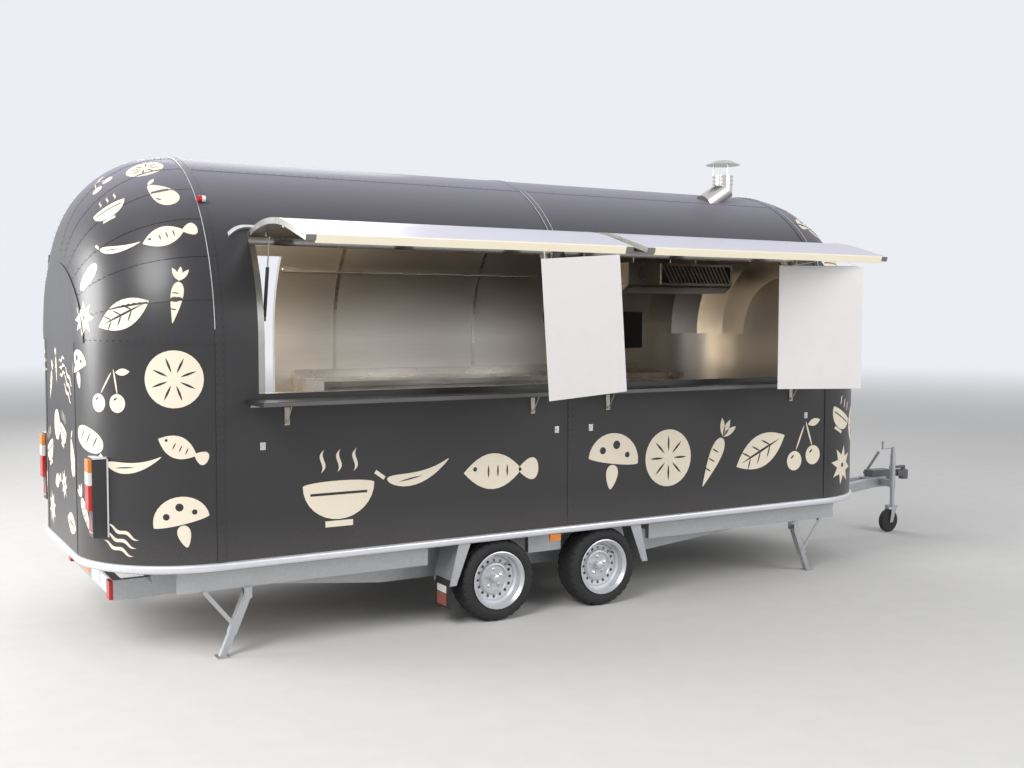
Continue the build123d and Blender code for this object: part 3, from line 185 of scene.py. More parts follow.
def skin_depth(node, maths, place):
    """How far a point lies outside the body's skin, in metres."""
    split = node("ShaderNodeSeparateXYZ", {0: place})
    x, y, z = split.outputs
    rise = maths("MAXIMUM", maths("SUBTRACT", z, WAIST), 0.0)
    across = maths("SQRT", maths("ADD", maths("MULTIPLY", y, y), maths("MULTIPLY", rise, rise)))
    from_middle = maths("ABSOLUTE", maths("SUBTRACT", x, MIDDLE_X))
    beyond = maths("MAXIMUM", maths("SUBTRACT", from_middle, STRAIGHT), 0.0)
    out = maths("MAXIMUM", maths("SUBTRACT", across, HALF_WIDTH - CORNER), 0.0)
    reach = maths("SQRT", maths("ADD", maths("MULTIPLY", beyond, beyond), maths("MULTIPLY", out, out)))
    return maths("SUBTRACT", reach, CORNER)


def skin_material(name, hinge=None, turn=(0, 0, 0), dark=PAINT_DARK, light=PAINT_LIGHT, sky_sheen=0.85, inner=1.0):
    """Skin finish; on a swung leaf it is laid out where the leaf lies when shut."""
    material, tree, shader, node, maths, mix, place = new_material(name)
    if hinge:
        shift = hinge - Euler(turn).to_matrix() @ hinge
        place = node("ShaderNodeMapping", {"Vector": place, "Location": shift, "Rotation": turn}).outputs[0]
    depth = skin_depth(node, maths, place)
    outside = maths("GREATER_THAN", depth, -PAINT_DEPTH)
    cloudy = node("ShaderNodeTexNoise", {"Vector": place, "Scale": 1.6, "Detail": 5.0, "Roughness": 0.6})
    fine = node("ShaderNodeTexNoise", {"Vector": place, "Scale": 90.0, "Detail": 3.0})
    paint = mix(cloudy.outputs["Fac"], (*dark, 1), (*light, 1))
    height = node("ShaderNodeSeparateXYZ", {0: place}).outputs[2]
    high = node("ShaderNodeMapRange", {
        "Value": height, "From Min": SKY_SHEEN_Z[0], "From Max": SKY_SHEEN_Z[1],
    }).outputs[0]
    # Painted sky reflection: blend the paint towards lavender grey higher up the roof crown
    paint = mix(maths("MULTIPLY", maths("MULTIPLY", high, high), sky_sheen), paint, (*ROOF_SKY_SHEEN, 1))
    low = node("ShaderNodeMapRange", {
        "Value": height, "From Min": DUST_Z[0], "From Max": DUST_Z[1], "To Min": 0.35, "To Max": 0.0,
    }).outputs[0]
    paint = mix(maths("MULTIPLY", low, fine.outputs["Fac"]), paint, (*ROAD_DUST, 1))
    brushed = node("ShaderNodeMapping", {"Vector": place, "Scale": (0.6, 60.0, 60.0)}).outputs[0]
    strokes = node("ShaderNodeTexNoise", {"Vector": brushed, "Scale": 6.0, "Detail": 4.0})
    # The lining colour is scaled by inner; the hatches use this to paint shade into their undersides
    steel = mix(strokes.outputs["Fac"], (*(inner * part for part in LINING_DARK), 1),
                (*(inner * part for part in LINING_LIGHT), 1))
    tree.links.new(mix(outside, steel, paint), shader.inputs["Base Color"])
    inside = maths("SUBTRACT", 1.0, outside)
    tree.links.new(inside, shader.inputs["Metallic"])
    dulled = maths("ADD", maths("MULTIPLY", high, 0.35), 0.30)
    rough = maths("ADD", maths("MULTIPLY", cloudy.outputs["Fac"], 0.14), dulled)
    tree.links.new(rough, shader.inputs["Roughness"])
    shader.inputs["Coat Weight"].default_value = 0.12
    shader.inputs["Coat Roughness"].default_value = 0.2
    bump = node("ShaderNodeBump", {"Height": fine.outputs["Fac"], "Strength": 0.06, "Distance": 0.002})
    tree.links.new(bump.outputs[0], shader.inputs["Normal"])
    return material


def dress(material, *names):
    for name in names:
        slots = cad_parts[name].data.materials
        slots.clear()
        slots.append(material)


body_paint = skin_material("charcoal_skin")
dress(
    body_paint, "end_walls", "wall_service", "wall_far", "roof_shoulders", "roof_crown", "end_domes",
    "end_plates", "seam_strips", "lamp_boxes",
)
door_hinge, door_swing = Vector((-1.9, 1.135, 0)), radians(165)
dress(skin_material("charcoal_door", door_hinge, (0, 0, -door_swing)), "door")
# Hatches: no painted sky reflection on the pale skin, and inner=0.42 darkens the stainless underside as
# painted shade and a painted dark reflection of the ground
hatch_skin = skin_material(
    "pale_hatch", HATCH_HINGE, (HATCH_TURN, 0, 0), (0.50, 0.49, 0.57), (0.60, 0.59, 0.67),
    sky_sheen=0.0, inner=0.42,
)
dress(hatch_skin, "hatch_rear", "hatch_front")

# Metal finishes of the chassis, hatches, kitchen and fittings, and the small
# plain finishes of rubber, plastic and painted parts
def metal(name, dark, light, metallic, rough, grain, stretch=(1, 1, 1), bump=0.05):
    material, tree, shader, node, maths, mix, place = new_material(name)
    stretched = node("ShaderNodeMapping", {"Vector": place, "Scale": stretch}).outputs[0]
    strokes = node(
        "ShaderNodeTexNoise", {"Vector": stretched, "Scale": grain, "Detail": 6.0, "Roughness": 0.6},
    )
    cloudy = node("ShaderNodeTexNoise", {"Vector": place, "Scale": 3.0, "Detail": 4.0})
    streaks = maths("MULTIPLY", strokes.outputs["Fac"], 0.6)
    share = maths("ADD", streaks, maths("MULTIPLY", cloudy.outputs["Fac"], 0.4))
    tree.links.new(mix(share, (*dark, 1), (*light, 1)), shader.inputs["Base Color"])
    shader.inputs["Metallic"].default_value = metallic
    roughness = maths("ADD", maths("MULTIPLY", cloudy.outputs["Fac"], 0.16), rough - 0.08)
    tree.links.new(roughness, shader.inputs["Roughness"])
    relief = node("ShaderNodeBump", {"Height": strokes.outputs["Fac"], "Strength": bump, "Distance": 0.002})
    tree.links.new(relief.outputs[0], shader.inputs["Normal"])
    return material


galvanised = metal("galvanised_steel", (0.36, 0.37, 0.38), (0.60, 0.61, 0.62), 0.75, 0.48, 40)
dress(
    galvanised, "chassis_rails", "side_beams", "cross_members", "rear_bar", "drawbar", "axles", "mudguards",
    "prop_legs", "leg_stays", "jockey_tube", "jockey_column", "jockey_fork",
)
dress(metal("wheel_box_black", (0.012, 0.012, 0.012), (0.03, 0.028, 0.026), 0.0, 0.8, 30), "wheel_boxes")
dress(metal("cast_coupling", (0.10, 0.10, 0.11), (0.20, 0.20, 0.21), 0.6, 0.45, 60), "coupling")
trim_metal = metal("edge_trim", (0.62, 0.63, 0.66), (0.80, 0.81, 0.84), 0.55, 0.38, 30, (0.3, 6, 6))
dress(trim_metal, "base_trim")
stainless = metal("kitchen_steel", (0.42, 0.395, 0.36), (0.60, 0.57, 0.52), 1.0, 0.28, 8, (0.5, 50, 50), 0.02)
dress(stainless, "opening_frame", "worktops", "appliances", "range_hood", "wall_rail")
dress(metal("flue_steel", (0.52, 0.50, 0.46), (0.74, 0.72, 0.68), 1.0, 0.25, 14, (8, 8, 0.5)), "chimney")
fitting_steel = metal("fitting_steel", (0.34, 0.31, 0.26), (0.60, 0.56, 0.48), 1.0, 0.35, 60)
dress(
    fitting_steel, "bracket_plates", "bracket_arms_rear", "bracket_arms_front", "strut_rods_rear",
    "strut_rods_front",
)
dress(
    metal("strut_black", (0.012, 0.012, 0.013), (0.03, 0.03, 0.032), 0.0, 0.30, 50),
    "strut_tubes_rear", "strut_tubes_front",
)
deck_board = metal("deck_board", (0.07, 0.055, 0.045), (0.14, 0.11, 0.09), 0.0, 0.75, 20, (1, 8, 1), 0.3)
dress(deck_board, "floor_deck")
counter_black = metal("counter_black", (0.018, 0.018, 0.02), (0.045, 0.044, 0.046), 0.0, 0.32, 30)
dress(counter_black, "counter_rear", "counter_front")
dress(metal("screen_black", (0.006, 0.006, 0.008), (0.012, 0.012, 0.014), 0.0, 0.16, 20), "screen")
rubber = metal("black_rubber", (0.014, 0.014, 0.015), (0.032, 0.031, 0.031), 0.0, 0.72, 80, bump=0.2)
dress(rubber, "mud_flaps", "jockey_wheel")
rim_silver = metal("rim_silver", (0.56, 0.57, 0.59), (0.72, 0.73, 0.75), 0.55, 0.34, 60)
dress(rim_silver, *(f"wheel_{axle}_{side}" for axle in ("rear", "front") for side in ("near", "far")))

# Lamps: moulded plastic lenses with fine cross ribs, in bands of red, white and
# amber on the tall rear lamps, red and white on the outline markers, and amber
# along the sides
WHITE_Z, AMBER_Z, MARKER_Z, MARKER_MIDDLE, SIDE_LAMPS_X = 1.0, 1.07, 2.0, -2.168, -0.5
lamp_plastic, tree, shader, node, maths, mix, place = new_material("lamp_lens")
split = node("ShaderNodeSeparateXYZ", {0: place})
x, y, z = split.outputs
amber, white, red = (0.70, 0.22, 0.02, 1), (0.75, 0.74, 0.70, 1), (0.50, 0.02, 0.015, 1)
banded = mix(maths("GREATER_THAN", z, AMBER_Z), mix(maths("GREATER_THAN", z, WHITE_Z), red, white), amber)
marker = mix(maths("GREATER_THAN", x, MARKER_MIDDLE), red, white)
colour = mix(maths("GREATER_THAN", z, MARKER_Z), banded, marker)
colour = mix(maths("GREATER_THAN", x, SIDE_LAMPS_X), colour, amber)
tree.links.new(colour, shader.inputs["Base Color"])
ribs = node("ShaderNodeTexWave", {"Vector": place, "Scale": 60.0}, bands_direction="Z")
relief = node("ShaderNodeBump", {"Height": ribs.outputs["Fac"], "Strength": 0.3, "Distance": 0.002})
tree.links.new(relief.outputs[0], shader.inputs["Normal"])
shader.inputs["Roughness"].default_value = 0.18
dress(lamp_plastic, "lamps")

# Tyres: black trailer tyres with a ribbed tread, four circumferential grooves
# and a stepped sidewall; one moulding, fitted four times
tyre_rubber = metal("tyre_rubber", (0.012, 0.012, 0.013), (0.030, 0.029, 0.029), 0.0, 0.78, 60, bump=0.25)
TYRE_RADIUS, TREAD_STEPS, LUG_BAND, LUG_DEPTH = 0.2625, 120, (0.054, 0.090), 0.006
WHEEL_SPOTS = [
    (axle, side, Vector((x, y, TYRE_RADIUS)))
    for axle, x in (("rear", -0.4), ("front", 0.4)) for side, y in (("near", -1.012), ("far", 1.012))
]
bm = bmesh.new()
half_profile = [
    # distance from the middle plane, radius
    (0.0, 0.2600), (0.010, 0.2622), (0.018, 0.2622), (0.019, 0.2555), (0.026, 0.2555), (0.027, 0.2618),
    (0.047, 0.2612), (0.048, 0.2548), (0.055, 0.2548), (0.056, 0.2602), (0.078, 0.2548),
    (0.0872, 0.2470), (0.0935, 0.2330), (0.0970, 0.2200), (0.0972, 0.2120), (0.0955, 0.2110),
    (0.0950, 0.2060), (0.0925, 0.1960), (0.0880, 0.1885), (0.0855, 0.1800), (0.0840, 0.1740),
]
profile = [bm.verts.new((radius, -across, 0)) for across, radius in reversed(half_profile)]
profile += [bm.verts.new((radius, across, 0)) for across, radius in half_profile[1:]]
edges = [bm.edges.new(pair) for pair in zip(profile, profile[1:])]
edges.append(bm.edges.new((profile[-1], profile[0])))
bmesh.ops.spin(
    bm, geom=profile + edges, axis=(0, 1, 0), cent=(0, 0, 0), angle=2 * pi, steps=TREAD_STEPS, use_merge=True,
)
for vert in bm.verts:
    radius, across = hypot(vert.co.x, vert.co.z), abs(vert.co.y)
    step = round(degrees(atan2(vert.co.z, vert.co.x)) / (360 / TREAD_STEPS))
    if LUG_BAND[0] < across < LUG_BAND[1] and step % 4 == 0:
        vert.co *= 1 - LUG_DEPTH / radius
        vert.co.y /= 1 - LUG_DEPTH / radius
bmesh.ops.recalc_face_normals(bm, faces=bm.faces)
tyre_mesh = bm
for axle, side, centre in WHEEL_SPOTS:
    bm = tyre_mesh.copy()
    bmesh.ops.translate(bm, vec=centre, verts=bm.verts)
    tyre = finish_mesh(bm, f"tyre_moulding_{axle}_{side}", tyre_rubber)
    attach(tyre, f"wheel_{axle}_{side}")
    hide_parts(f"tyre_{axle}_{side}")
tyre_mesh.free()

# Wheel trims: five hexagon bolts, a small domed hub cap and a rubber valve on
# each steel wheel, all bright metal apart from the valve
def add_to(target, part):
    """Move a finished small mesh into the mesh that collects its like."""
    sheet = bpy.data.meshes.new("part")
    part.to_mesh(sheet)
    part.free()
    target.from_mesh(sheet)
    bpy.data.meshes.remove(sheet)


def turned_form(target, outline, spot, outward, segments=24):
    """Lathe-turned form: an outline of (radius, height) points spun about a line."""
    part = bmesh.new()
    verts = [part.verts.new((radius, 0, height)) for radius, height in outline]
    edges = [part.edges.new(pair) for pair in zip(verts, verts[1:])]
    bmesh.ops.spin(
        part, geom=verts + edges, axis=(0, 0, 1), cent=(0, 0, 0), angle=2 * pi, steps=segments,
        use_merge=True,
    )
    bmesh.ops.remove_doubles(part, verts=part.verts, dist=1e-6)
    bmesh.ops.recalc_face_normals(part, faces=part.faces)
    facing = outward.to_track_quat("Z", "Y").to_matrix()
    bmesh.ops.rotate(part, verts=part.verts, cent=(0, 0, 0), matrix=facing)
    bmesh.ops.translate(part, verts=part.verts, vec=spot)
    add_to(target, part)


chrome = metal("hub_chrome", (0.66, 0.67, 0.69), (0.84, 0.85, 0.87), 1.0, 0.18, 60, bump=0.02)
DISC_FACE, BOLT_CIRCLE, CAP_RADIUS, CAP_FACE = 0.021, 0.056, 0.0275, 0.0575
VALVE_FOOT, VALVE_OUT = Vector((0.105, 0, 0.078)), 0.030
# outlines of radius and height
BOLT_COLLAR = [(0, 0), (0.0125, 0), (0.0125, 0.002), (0.0105, 0.004), (0, 0.004)]
BOLT_HEAD = [(0.0102, 0.003), (0.0102, 0.013), (0.008, 0.0155), (0, 0.0155)]
VALVE = [(0.0055, 0), (0.0055, 0.010), (0.0035, 0.013), (0.0035, 0.028), (0, 0.030)]
for axle, side, hub in WHEEL_SPOTS:
    outward = Vector((0, hub.y, 0)).normalized()
    bm = bmesh.new()
    for number in range(5):
        turn = radians(90 + number * 72)
        spot = hub + Vector((cos(turn), 0, sin(turn))) * BOLT_CIRCLE + outward * DISC_FACE
        turned_form(bm, BOLT_COLLAR, spot, outward, 16)
        turned_form(bm, BOLT_HEAD, spot, outward, 6)
    angles = [radians(angle) for angle in range(0, 91, 15)]
    dome = [(CAP_RADIUS * cos(angle), CAP_FACE + 0.006 * sin(angle)) for angle in angles]
    turned_form(bm, [(CAP_RADIUS, 0.050), *dome], hub, outward, 32)
    trim = finish_mesh(bm, f"wheel_bolts_{axle}_{side}", chrome)
    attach(trim, f"wheel_{axle}_{side}")
    bm = bmesh.new()
    turned_form(bm, VALVE, hub + VALVE_FOOT + outward * VALVE_OUT, outward, 12)
    valve = finish_mesh(bm, f"wheel_valve_{axle}_{side}", rubber)
    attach(valve, f"wheel_{axle}_{side}")

# Hatch edging: pale cream box section along each free edge and a thin bright
# strip bent round each end of the leaf; both are riveted on and swing with it
def slab(target, low, high, round_off=0.001, turn=None, cent=(0, 0, 0)):
    """Block with rounded edges between two corners, turned about a point if asked."""
    part = bmesh.new()
    bmesh.ops.create_cube(part, size=1)
    low, high = Vector(low), Vector(high)
    bmesh.ops.scale(part, verts=part.verts, vec=high - low)
    bmesh.ops.translate(part, verts=part.verts, vec=(low + high) / 2)
    bmesh.ops.bevel(
        part, geom=part.edges[:], offset=round_off, offset_type="OFFSET", affect="EDGES", segments=2,
        profile=0.5, material=-1,
    )
    if turn:
        bmesh.ops.rotate(part, verts=part.verts, cent=cent, matrix=turn)
    add_to(target, part)


def on_arch(x, arc, radius, side=-1):
    """Point by X, angle above the waist and radius; below the waist the angle runs down the wall."""
    if arc < 0:
        return Vector((x, side * radius, WAIST + radians(arc) * HALF_WIDTH))
    return Vector((x, side * radius * cos(radians(arc)), WAIST + radius * sin(radians(arc))))


def join_rings(target, rings, turn=None, cent=(0, 0, 0)):
    """Closed skin through rings of as many points each, with both ends capped."""
    part = bmesh.new()
    rings = [[part.verts.new(spot) for spot in ring] for ring in rings]
    for ring, following in zip(rings, rings[1:]):
        for number in range(len(ring)):
            part.faces.new((ring[number - 1], ring[number], following[number], following[number - 1]))
    part.faces.new(rings[0])
    part.faces.new(rings[-1])
    bmesh.ops.recalc_face_normals(part, faces=part.faces)
    if turn:
        bmesh.ops.rotate(part, verts=part.verts, cent=cent, matrix=turn)
    add_to(target, part)


def bent_strip(target, xs, arcs, radii, steps, side=-1, turn=None, cent=(0, 0, 0)):
    """Strip bent to the arch: X, angle above the waist and radius, each from low to high."""
    corners = ((xs[0], radii[0]), (xs[1], radii[0]), (xs[1], radii[1]), (xs[0], radii[1]))
    angles = [arcs[0] + (arcs[1] - arcs[0]) * number / steps for number in range(steps + 1)]
    rings = [[on_arch(x, arc, radius, side) for x, radius in corners] for arc in angles]
    join_rings(target, rings, turn, cent)


HATCH_ENDS = {"rear": (-1.944, 0.069), "front": (0.171, 2.194)}
LIP_LOW, LIP_HIGH, LIP_SET_IN = (-1.1212, 1.4945), (-1.0760, 1.5150), 0.055
EDGING_WIDE, EDGING_PROUD, EDGING_ARCS, EDGING_RADII = 0.014, 0.0008, (-13.9, 32.4), (1.0883, 1.1212)
HOOK_ARCS, HOOK_SET_IN = (10.0, 13.0, 16.0), 0.085
open_turn = Matrix.Rotation(-HATCH_TURN, 3, "X")
lip_cream = metal("lip_cream", (0.84, 0.75, 0.57), (0.93, 0.85, 0.68), 0.0, 0.42, 20, (0.3, 6, 6), 0.03)
edge_bright = metal("edge_bright", (0.66, 0.65, 0.63), (0.84, 0.83, 0.80), 0.7, 0.30, 30, (0.5, 6, 6), 0.03)
for name, (x0, x1) in HATCH_ENDS.items():
    bm = bmesh.new()
    slab(bm, (x0 + LIP_SET_IN, *LIP_LOW), (x1 - LIP_SET_IN, *LIP_HIGH), 0.0025, open_turn, HATCH_HINGE)
    lip = finish_mesh(bm, f"hatch_lip_{name}", lip_cream)
    bm = bmesh.new()
    for start, stop in ((x0 - EDGING_PROUD, x0 + EDGING_WIDE), (x1 - EDGING_WIDE, x1 + EDGING_PROUD)):
        bent_strip(bm, (start, stop), EDGING_ARCS, EDGING_RADII, 28, -1, open_turn, HATCH_HINGE)
        hook_x = start + HOOK_SET_IN if start < x0 else stop - HOOK_SET_IN
        for arc in HOOK_ARCS:
            low, high = sorted((on_arch(hook_x, arc, 1.0700).y, on_arch(hook_x, arc, 1.0890).y))
            hook_z = on_arch(hook_x, arc, 1.0800).z
            slab(
                bm, (hook_x - 0.005, low, hook_z - 0.003), (hook_x + 0.005, high, hook_z + 0.003), 0.0015,
                open_turn, HATCH_HINGE,
            )
    edging = finish_mesh(bm, f"hatch_edging_{name}", edge_bright)
    for piece in (lip, edging):
        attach(piece, f"hatch_{name}")

# Rain gutter: folded aluminium strip riveted to the shell just above the hatch
# hinges, its ends bent down so that the water runs off beside the windows
GUTTER_OUTLINE = [
    # radius, angle above the waist
    (1.1202, 34.85), (1.1450, 34.65), (1.1458, 34.78), (1.1222, 35.00), (1.1222, 36.40), (1.1202, 36.40),
]
GUTTER_X, GUTTER_BEND, GUTTER_DROOP = (-2.06, 2.30), 0.11, 3.0
bm = bmesh.new()
bends = [number / 8 for number in range(9)]
stations = [(GUTTER_X[0] + GUTTER_BEND * share, GUTTER_DROOP * (1 - share) ** 2) for share in bends]
stations += [(GUTTER_X[1] - GUTTER_BEND * (1 - share), GUTTER_DROOP * share ** 2) for share in bends]
join_rings(bm, [[on_arch(x, arc - droop, radius) for radius, arc in GUTTER_OUTLINE] for x, droop in stations])
gutter = finish_mesh(bm, "rain_gutter", edge_bright)
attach(gutter, "trailer")

# Hoop beads: thin bright metal strips round the shell along the edges of the
# riveted seam strips, laid as painted highlights where light catches those edges
BEAD_HALF = 0.0018
bm = bmesh.new()
for x, arcs, radius in (
    (MIDDLE_X - 0.0195, (37.0, 63.0), 1.1240), (MIDDLE_X + 0.0195, (37.0, 63.0), 1.1240),
    (REAR_SEAM - 0.0225, (4.0, 90.0), 1.1250), (FRONT_SEAM + 0.0225, (4.0, 90.0), 1.1250),
):
    for side in (-1, 1):
        bent_strip(bm, (x - BEAD_HALF, x + BEAD_HALF), arcs, (radius - 0.003, radius + 0.0012), 40, side)
hoop_highlight_beads = finish_mesh(bm, "hoop_highlight_beads", edge_bright)
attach(hoop_highlight_beads, "trailer")

# Latch eyes: small bright staples on plates below the counters, which hold the
# hatches and counters shut for the road
LATCH_X, EYE_RADIUS = (-1.931, 0.013, 0.277, 2.196), 0.0022
bm = bmesh.new()
for x in LATCH_X:
    slab(bm, (x - 0.016, -1.1222, 1.176), (x + 0.016, -1.1196, 1.219), 0.0008)
    loop = [
        (x + 0.009 * cos(radians(a)), -1.1215 - 0.011 * sin(radians(a)), 1.1975) for a in range(0, 181, 20)
    ]
    rings = []
    for number, spot in enumerate(loop):
        turn = radians(number * 20)
        away = Vector((cos(turn), -sin(turn), 0))
        rings.append([
            Vector(spot) + away * (EYE_RADIUS * cos(a)) + Vector((0, 0, EYE_RADIUS * sin(a)))
            for a in (pi / 4 * corner for corner in range(8))
        ])
    join_rings(bm, rings)
latch_eyes = finish_mesh(bm, "latch_eyes", chrome)
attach(latch_eyes, "trailer")

# Cover strips: painted flat strips over the upright joints of the end walls,
# and bright ones over the joints of the kitchen lining
STRIP_HALF, STRIP_THICK, STRIP_Z, FLAT_HALF = 0.016, 0.0022, (0.572, 1.768), HALF_WIDTH - CORNER
LINING_HALF, LINING_ARCS, LINING_RADII = 0.014, (-14.0, 62.0), (1.0775, 1.0798)
bm = bmesh.new()
for end_x, out in ((REAR_SEAM - CORNER, -1), (FRONT_SEAM + CORNER, 1)):
    for y in (-FLAT_HALF, FLAT_HALF):
        low_x, high_x = sorted((end_x, end_x + out * STRIP_THICK))
        slab(bm, (low_x, y - STRIP_HALF, STRIP_Z[0]), (high_x, y + STRIP_HALF, STRIP_Z[1]), 0.0006)
wall_strips = finish_mesh(bm, "wall_cover_strips", body_paint)
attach(wall_strips, "trailer")
bm = bmesh.new()
for x in (-0.62, 0.60, 1.72):
    bent_strip(bm, (x - LINING_HALF, x + LINING_HALF), LINING_ARCS, LINING_RADII, 30, 1)
lining_strips = finish_mesh(bm, "lining_cover_strips", stainless)
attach(lining_strips, "trailer")

# Hood filters: a bank of slanted baffle bars in a bright frame on the hood's
# front, with the dark filter bed showing between the bars
FILTER_X, FILTER_Z, FILTER_FACE, FILTER_LEAN = (1.93, 2.68), (2.192, 2.350), 0.2800, 0.085
RIM_WIDE, RIM_PROUD = 0.014, 0.009
bed_black = metal("filter_bed", (0.010, 0.010, 0.010), (0.022, 0.020, 0.018), 0.0, 0.7, 60)
bm = bmesh.new()
slab(bm, (FILTER_X[0], FILTER_FACE - 0.0012, FILTER_Z[0]), (FILTER_X[1], FILTER_FACE, FILTER_Z[1]), 0.0004)
filter_bed = finish_mesh(bm, "hood_filter_bed", bed_black)
bm = bmesh.new()
for number in range(17):
    top_x = FILTER_X[0] + 0.02 + number * 0.040
    rings = []
    for x, z in ((top_x, FILTER_Z[1] - 0.006), (top_x + FILTER_LEAN, FILTER_Z[0] + 0.006)):
        rings.append([
            (x - 0.009, FILTER_FACE - 0.0010, z), (x + 0.009, FILTER_FACE - 0.0010, z),
            (x + 0.004, FILTER_FACE - 0.0070, z), (x - 0.004, FILTER_FACE - 0.0070, z),
        ])
    join_rings(bm, rings)
for low_z in (FILTER_Z[0] - 0.006, FILTER_Z[1] - 0.008):
    low = (FILTER_X[0] - 0.004, FILTER_FACE - RIM_PROUD, low_z)
    slab(bm, low, (FILTER_X[1] + 0.004, FILTER_FACE, low_z + RIM_WIDE))
for low_x in (FILTER_X[0] - 0.006, FILTER_X[1] - 0.008):
    slab(bm, (low_x, FILTER_FACE - RIM_PROUD, FILTER_Z[0]), (low_x + RIM_WIDE, FILTER_FACE, FILTER_Z[1]))
filter_bars = finish_mesh(bm, "hood_filter_bars", stainless)
for piece in (filter_bed, filter_bars):
    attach(piece, "trailer")

# Lamp fittings: pale edging on the tall rear lamp housings, a red three-sided
# reflector in a thin rim below each lamp, and the amber strip and the two
# blank white plates screwed on the rear bar
LAMP_BACK, LAMP_FRONT, LAMP_TOP, BAR_BACK = -2.788, -2.704, 1.1525, -2.650
PLATE_SCREW = [(0, 0.003), (0.006, 0.003), (0.006, 0.004), (0.004, 0.0052), (0, 0.0052)]
frame_pale = metal("lamp_frame", (0.60, 0.60, 0.61), (0.74, 0.74, 0.75), 0.3, 0.4, 30)
reflector_red = metal("reflector_red", (0.42, 0.012, 0.010), (0.60, 0.03, 0.02), 0.0, 0.16, 120, bump=0.3)
strip_amber = metal("strip_amber", (0.66, 0.20, 0.04), (0.84, 0.34, 0.10), 0.0, 0.35, 70, bump=0.2)
plate_white = metal("blank_plate", (0.74, 0.73, 0.71), (0.84, 0.83, 0.81), 0.0, 0.4, 30, bump=0.02)
frames, reflectors, strips, plates = (bmesh.new() for _ in range(4))
for side in (-1, 1):
    inner, outer = sorted((side * 0.722, side * 0.833))
    slab(frames, (LAMP_BACK, inner, 1.1490), (LAMP_FRONT, outer, LAMP_TOP), 0.0012)
    low_y, high_y = sorted((side * 0.8335, side * 0.8375))
    slab(frames, (LAMP_BACK, low_y, 1.143), (LAMP_FRONT, high_y, LAMP_TOP), 0.0012)
    slab(frames, (LAMP_FRONT - 0.009, low_y, 0.713), (LAMP_FRONT, high_y, LAMP_TOP), 0.0012)
    middle = side * 0.7775
    for target, high, wide, proud in ((frames, 0.108, 0.078, 0.003), (reflectors, 0.092, 0.062, 0.006)):
        low_z = 0.790 - high / 2
        corners = ((middle - wide / 2, low_z), (middle + wide / 2, low_z), (middle, low_z + high))
        join_rings(target, [[(x, y, z) for y, z in corners] for x in (LAMP_BACK + 0.001, LAMP_BACK - proud)])
slab(strips, (BAR_BACK - 0.0025, 0.03, 0.335), (BAR_BACK + 0.0005, 0.535, 0.405), 0.0010)
for low_y in (-0.275, -0.530):
    slab(plates, (BAR_BACK - 0.0030, low_y, 0.322), (BAR_BACK + 0.0005, low_y + 0.235, 0.418), 0.0012)
    for y in (low_y + 0.03, low_y + 0.205):
        turned_form(frames, PLATE_SCREW, Vector((BAR_BACK, y, 0.37)), Vector((-1, 0, 0)), 10)
for name, bm, material, slot in (
    ("lamp_frames", frames, frame_pale, "edge_trim"),
    ("rear_reflectors", reflectors, reflector_red, "lamp_red"),
    ("amber_strip", strips, strip_amber, "lamp_red"),
    ("blank_plates", plates, plate_white, "edge_trim"),
):
    fitting = finish_mesh(bm, name, material)
    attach(fitting, "trailer")

# Flap plates: a pale blank plate over a dull red one, riveted to the rear face
# of each leaning mud flap
FLAP_MIDDLE, FLAP_HALF, PLATE_THICK = 1.018, 0.060, 0.0025
dull_red = metal("flap_red", (0.24, 0.06, 0.04), (0.36, 0.11, 0.08), 0.0, 0.6, 40)
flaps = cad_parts["mud_flaps"]
PLATE_SECTION = (
    (-PLATE_THICK, -FLAP_HALF), (-PLATE_THICK, FLAP_HALF), (0.001, FLAP_HALF), (0.001, -FLAP_HALF),
)
for name, material, levels in (
    ("flap_labels", plate_white, (0.218, 0.262)), ("flap_lowers", dull_red, (0.138, 0.212)),
):
    bm = bmesh.new()
    for side in (-1, 1):
        rings = []
        for z in levels:
            spot = flaps.ray_cast((-1.0, side * FLAP_MIDDLE, z), (1, 0, 0))[1]
            rings.append([(spot.x + depth, spot.y + wide, z) for depth, wide in PLATE_SECTION])
        join_rings(bm, rings)
    fitting = finish_mesh(bm, name, material)
    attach(fitting, "trailer")

# Counter edges: thin grey strip along the free edge of each black folding
# counter; it guards the board's edge and swings with it
edge_grey = metal("counter_edge", (0.07, 0.07, 0.072), (0.14, 0.14, 0.142), 0.2, 0.4, 40, (0.3, 6, 6))
for name in ("rear", "front"):
    box_low, box_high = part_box(f"counter_{name}")
    bm = bmesh.new()
    slab(bm, (box_low[0] + 0.004, box_low[1] - 0.0018, box_high[2] - 0.0235),
         (box_high[0] - 0.004, box_low[1] + 0.003, box_high[2] - 0.0015), 0.0008)
    edge_strip = finish_mesh(bm, f"counter_edge_{name}", edge_grey)
    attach(edge_strip, f"counter_{name}")

# Rivets: domed heads painted over with the skin, in rows along the seam
# strips, the roof strips and the laps of the end gores
RIVET_RADIUS, SMALL_RIVET, RIVET_STEP, ROW_OFFSET = 0.0055, 0.003, 0.045, 0.0145
GORE_ANGLE, LAP_BACK, WAIST_ROW, END_PROUD = 90 / 7, 0.55, WAIST + 0.016, 0.0025
ROOF_STEP, ROOF_OFFSET, ROOF_STARTS = 0.055, 0.009, (-2.125, 0.165)


def rivet(bm, spot, outward, radius=RIVET_RADIUS):
    """One eight-sided head on the skin, as geometry that a spin can repeat."""
    turn = outward.to_track_quat("Z", "Y").to_matrix().to_4x4()
    head = bmesh.ops.create_cone(
        bm, cap_ends=True, segments=8, radius1=radius, radius2=radius * 0.5, depth=0.0030,
        matrix=Matrix.Translation(spot + outward * 0.0012) @ turn,
    )
    verts = head["verts"]
    edges = {edge for vert in verts for edge in vert.link_edges}
    faces = {face for vert in verts for face in vert.link_faces}
    return [*verts, *edges, *faces]


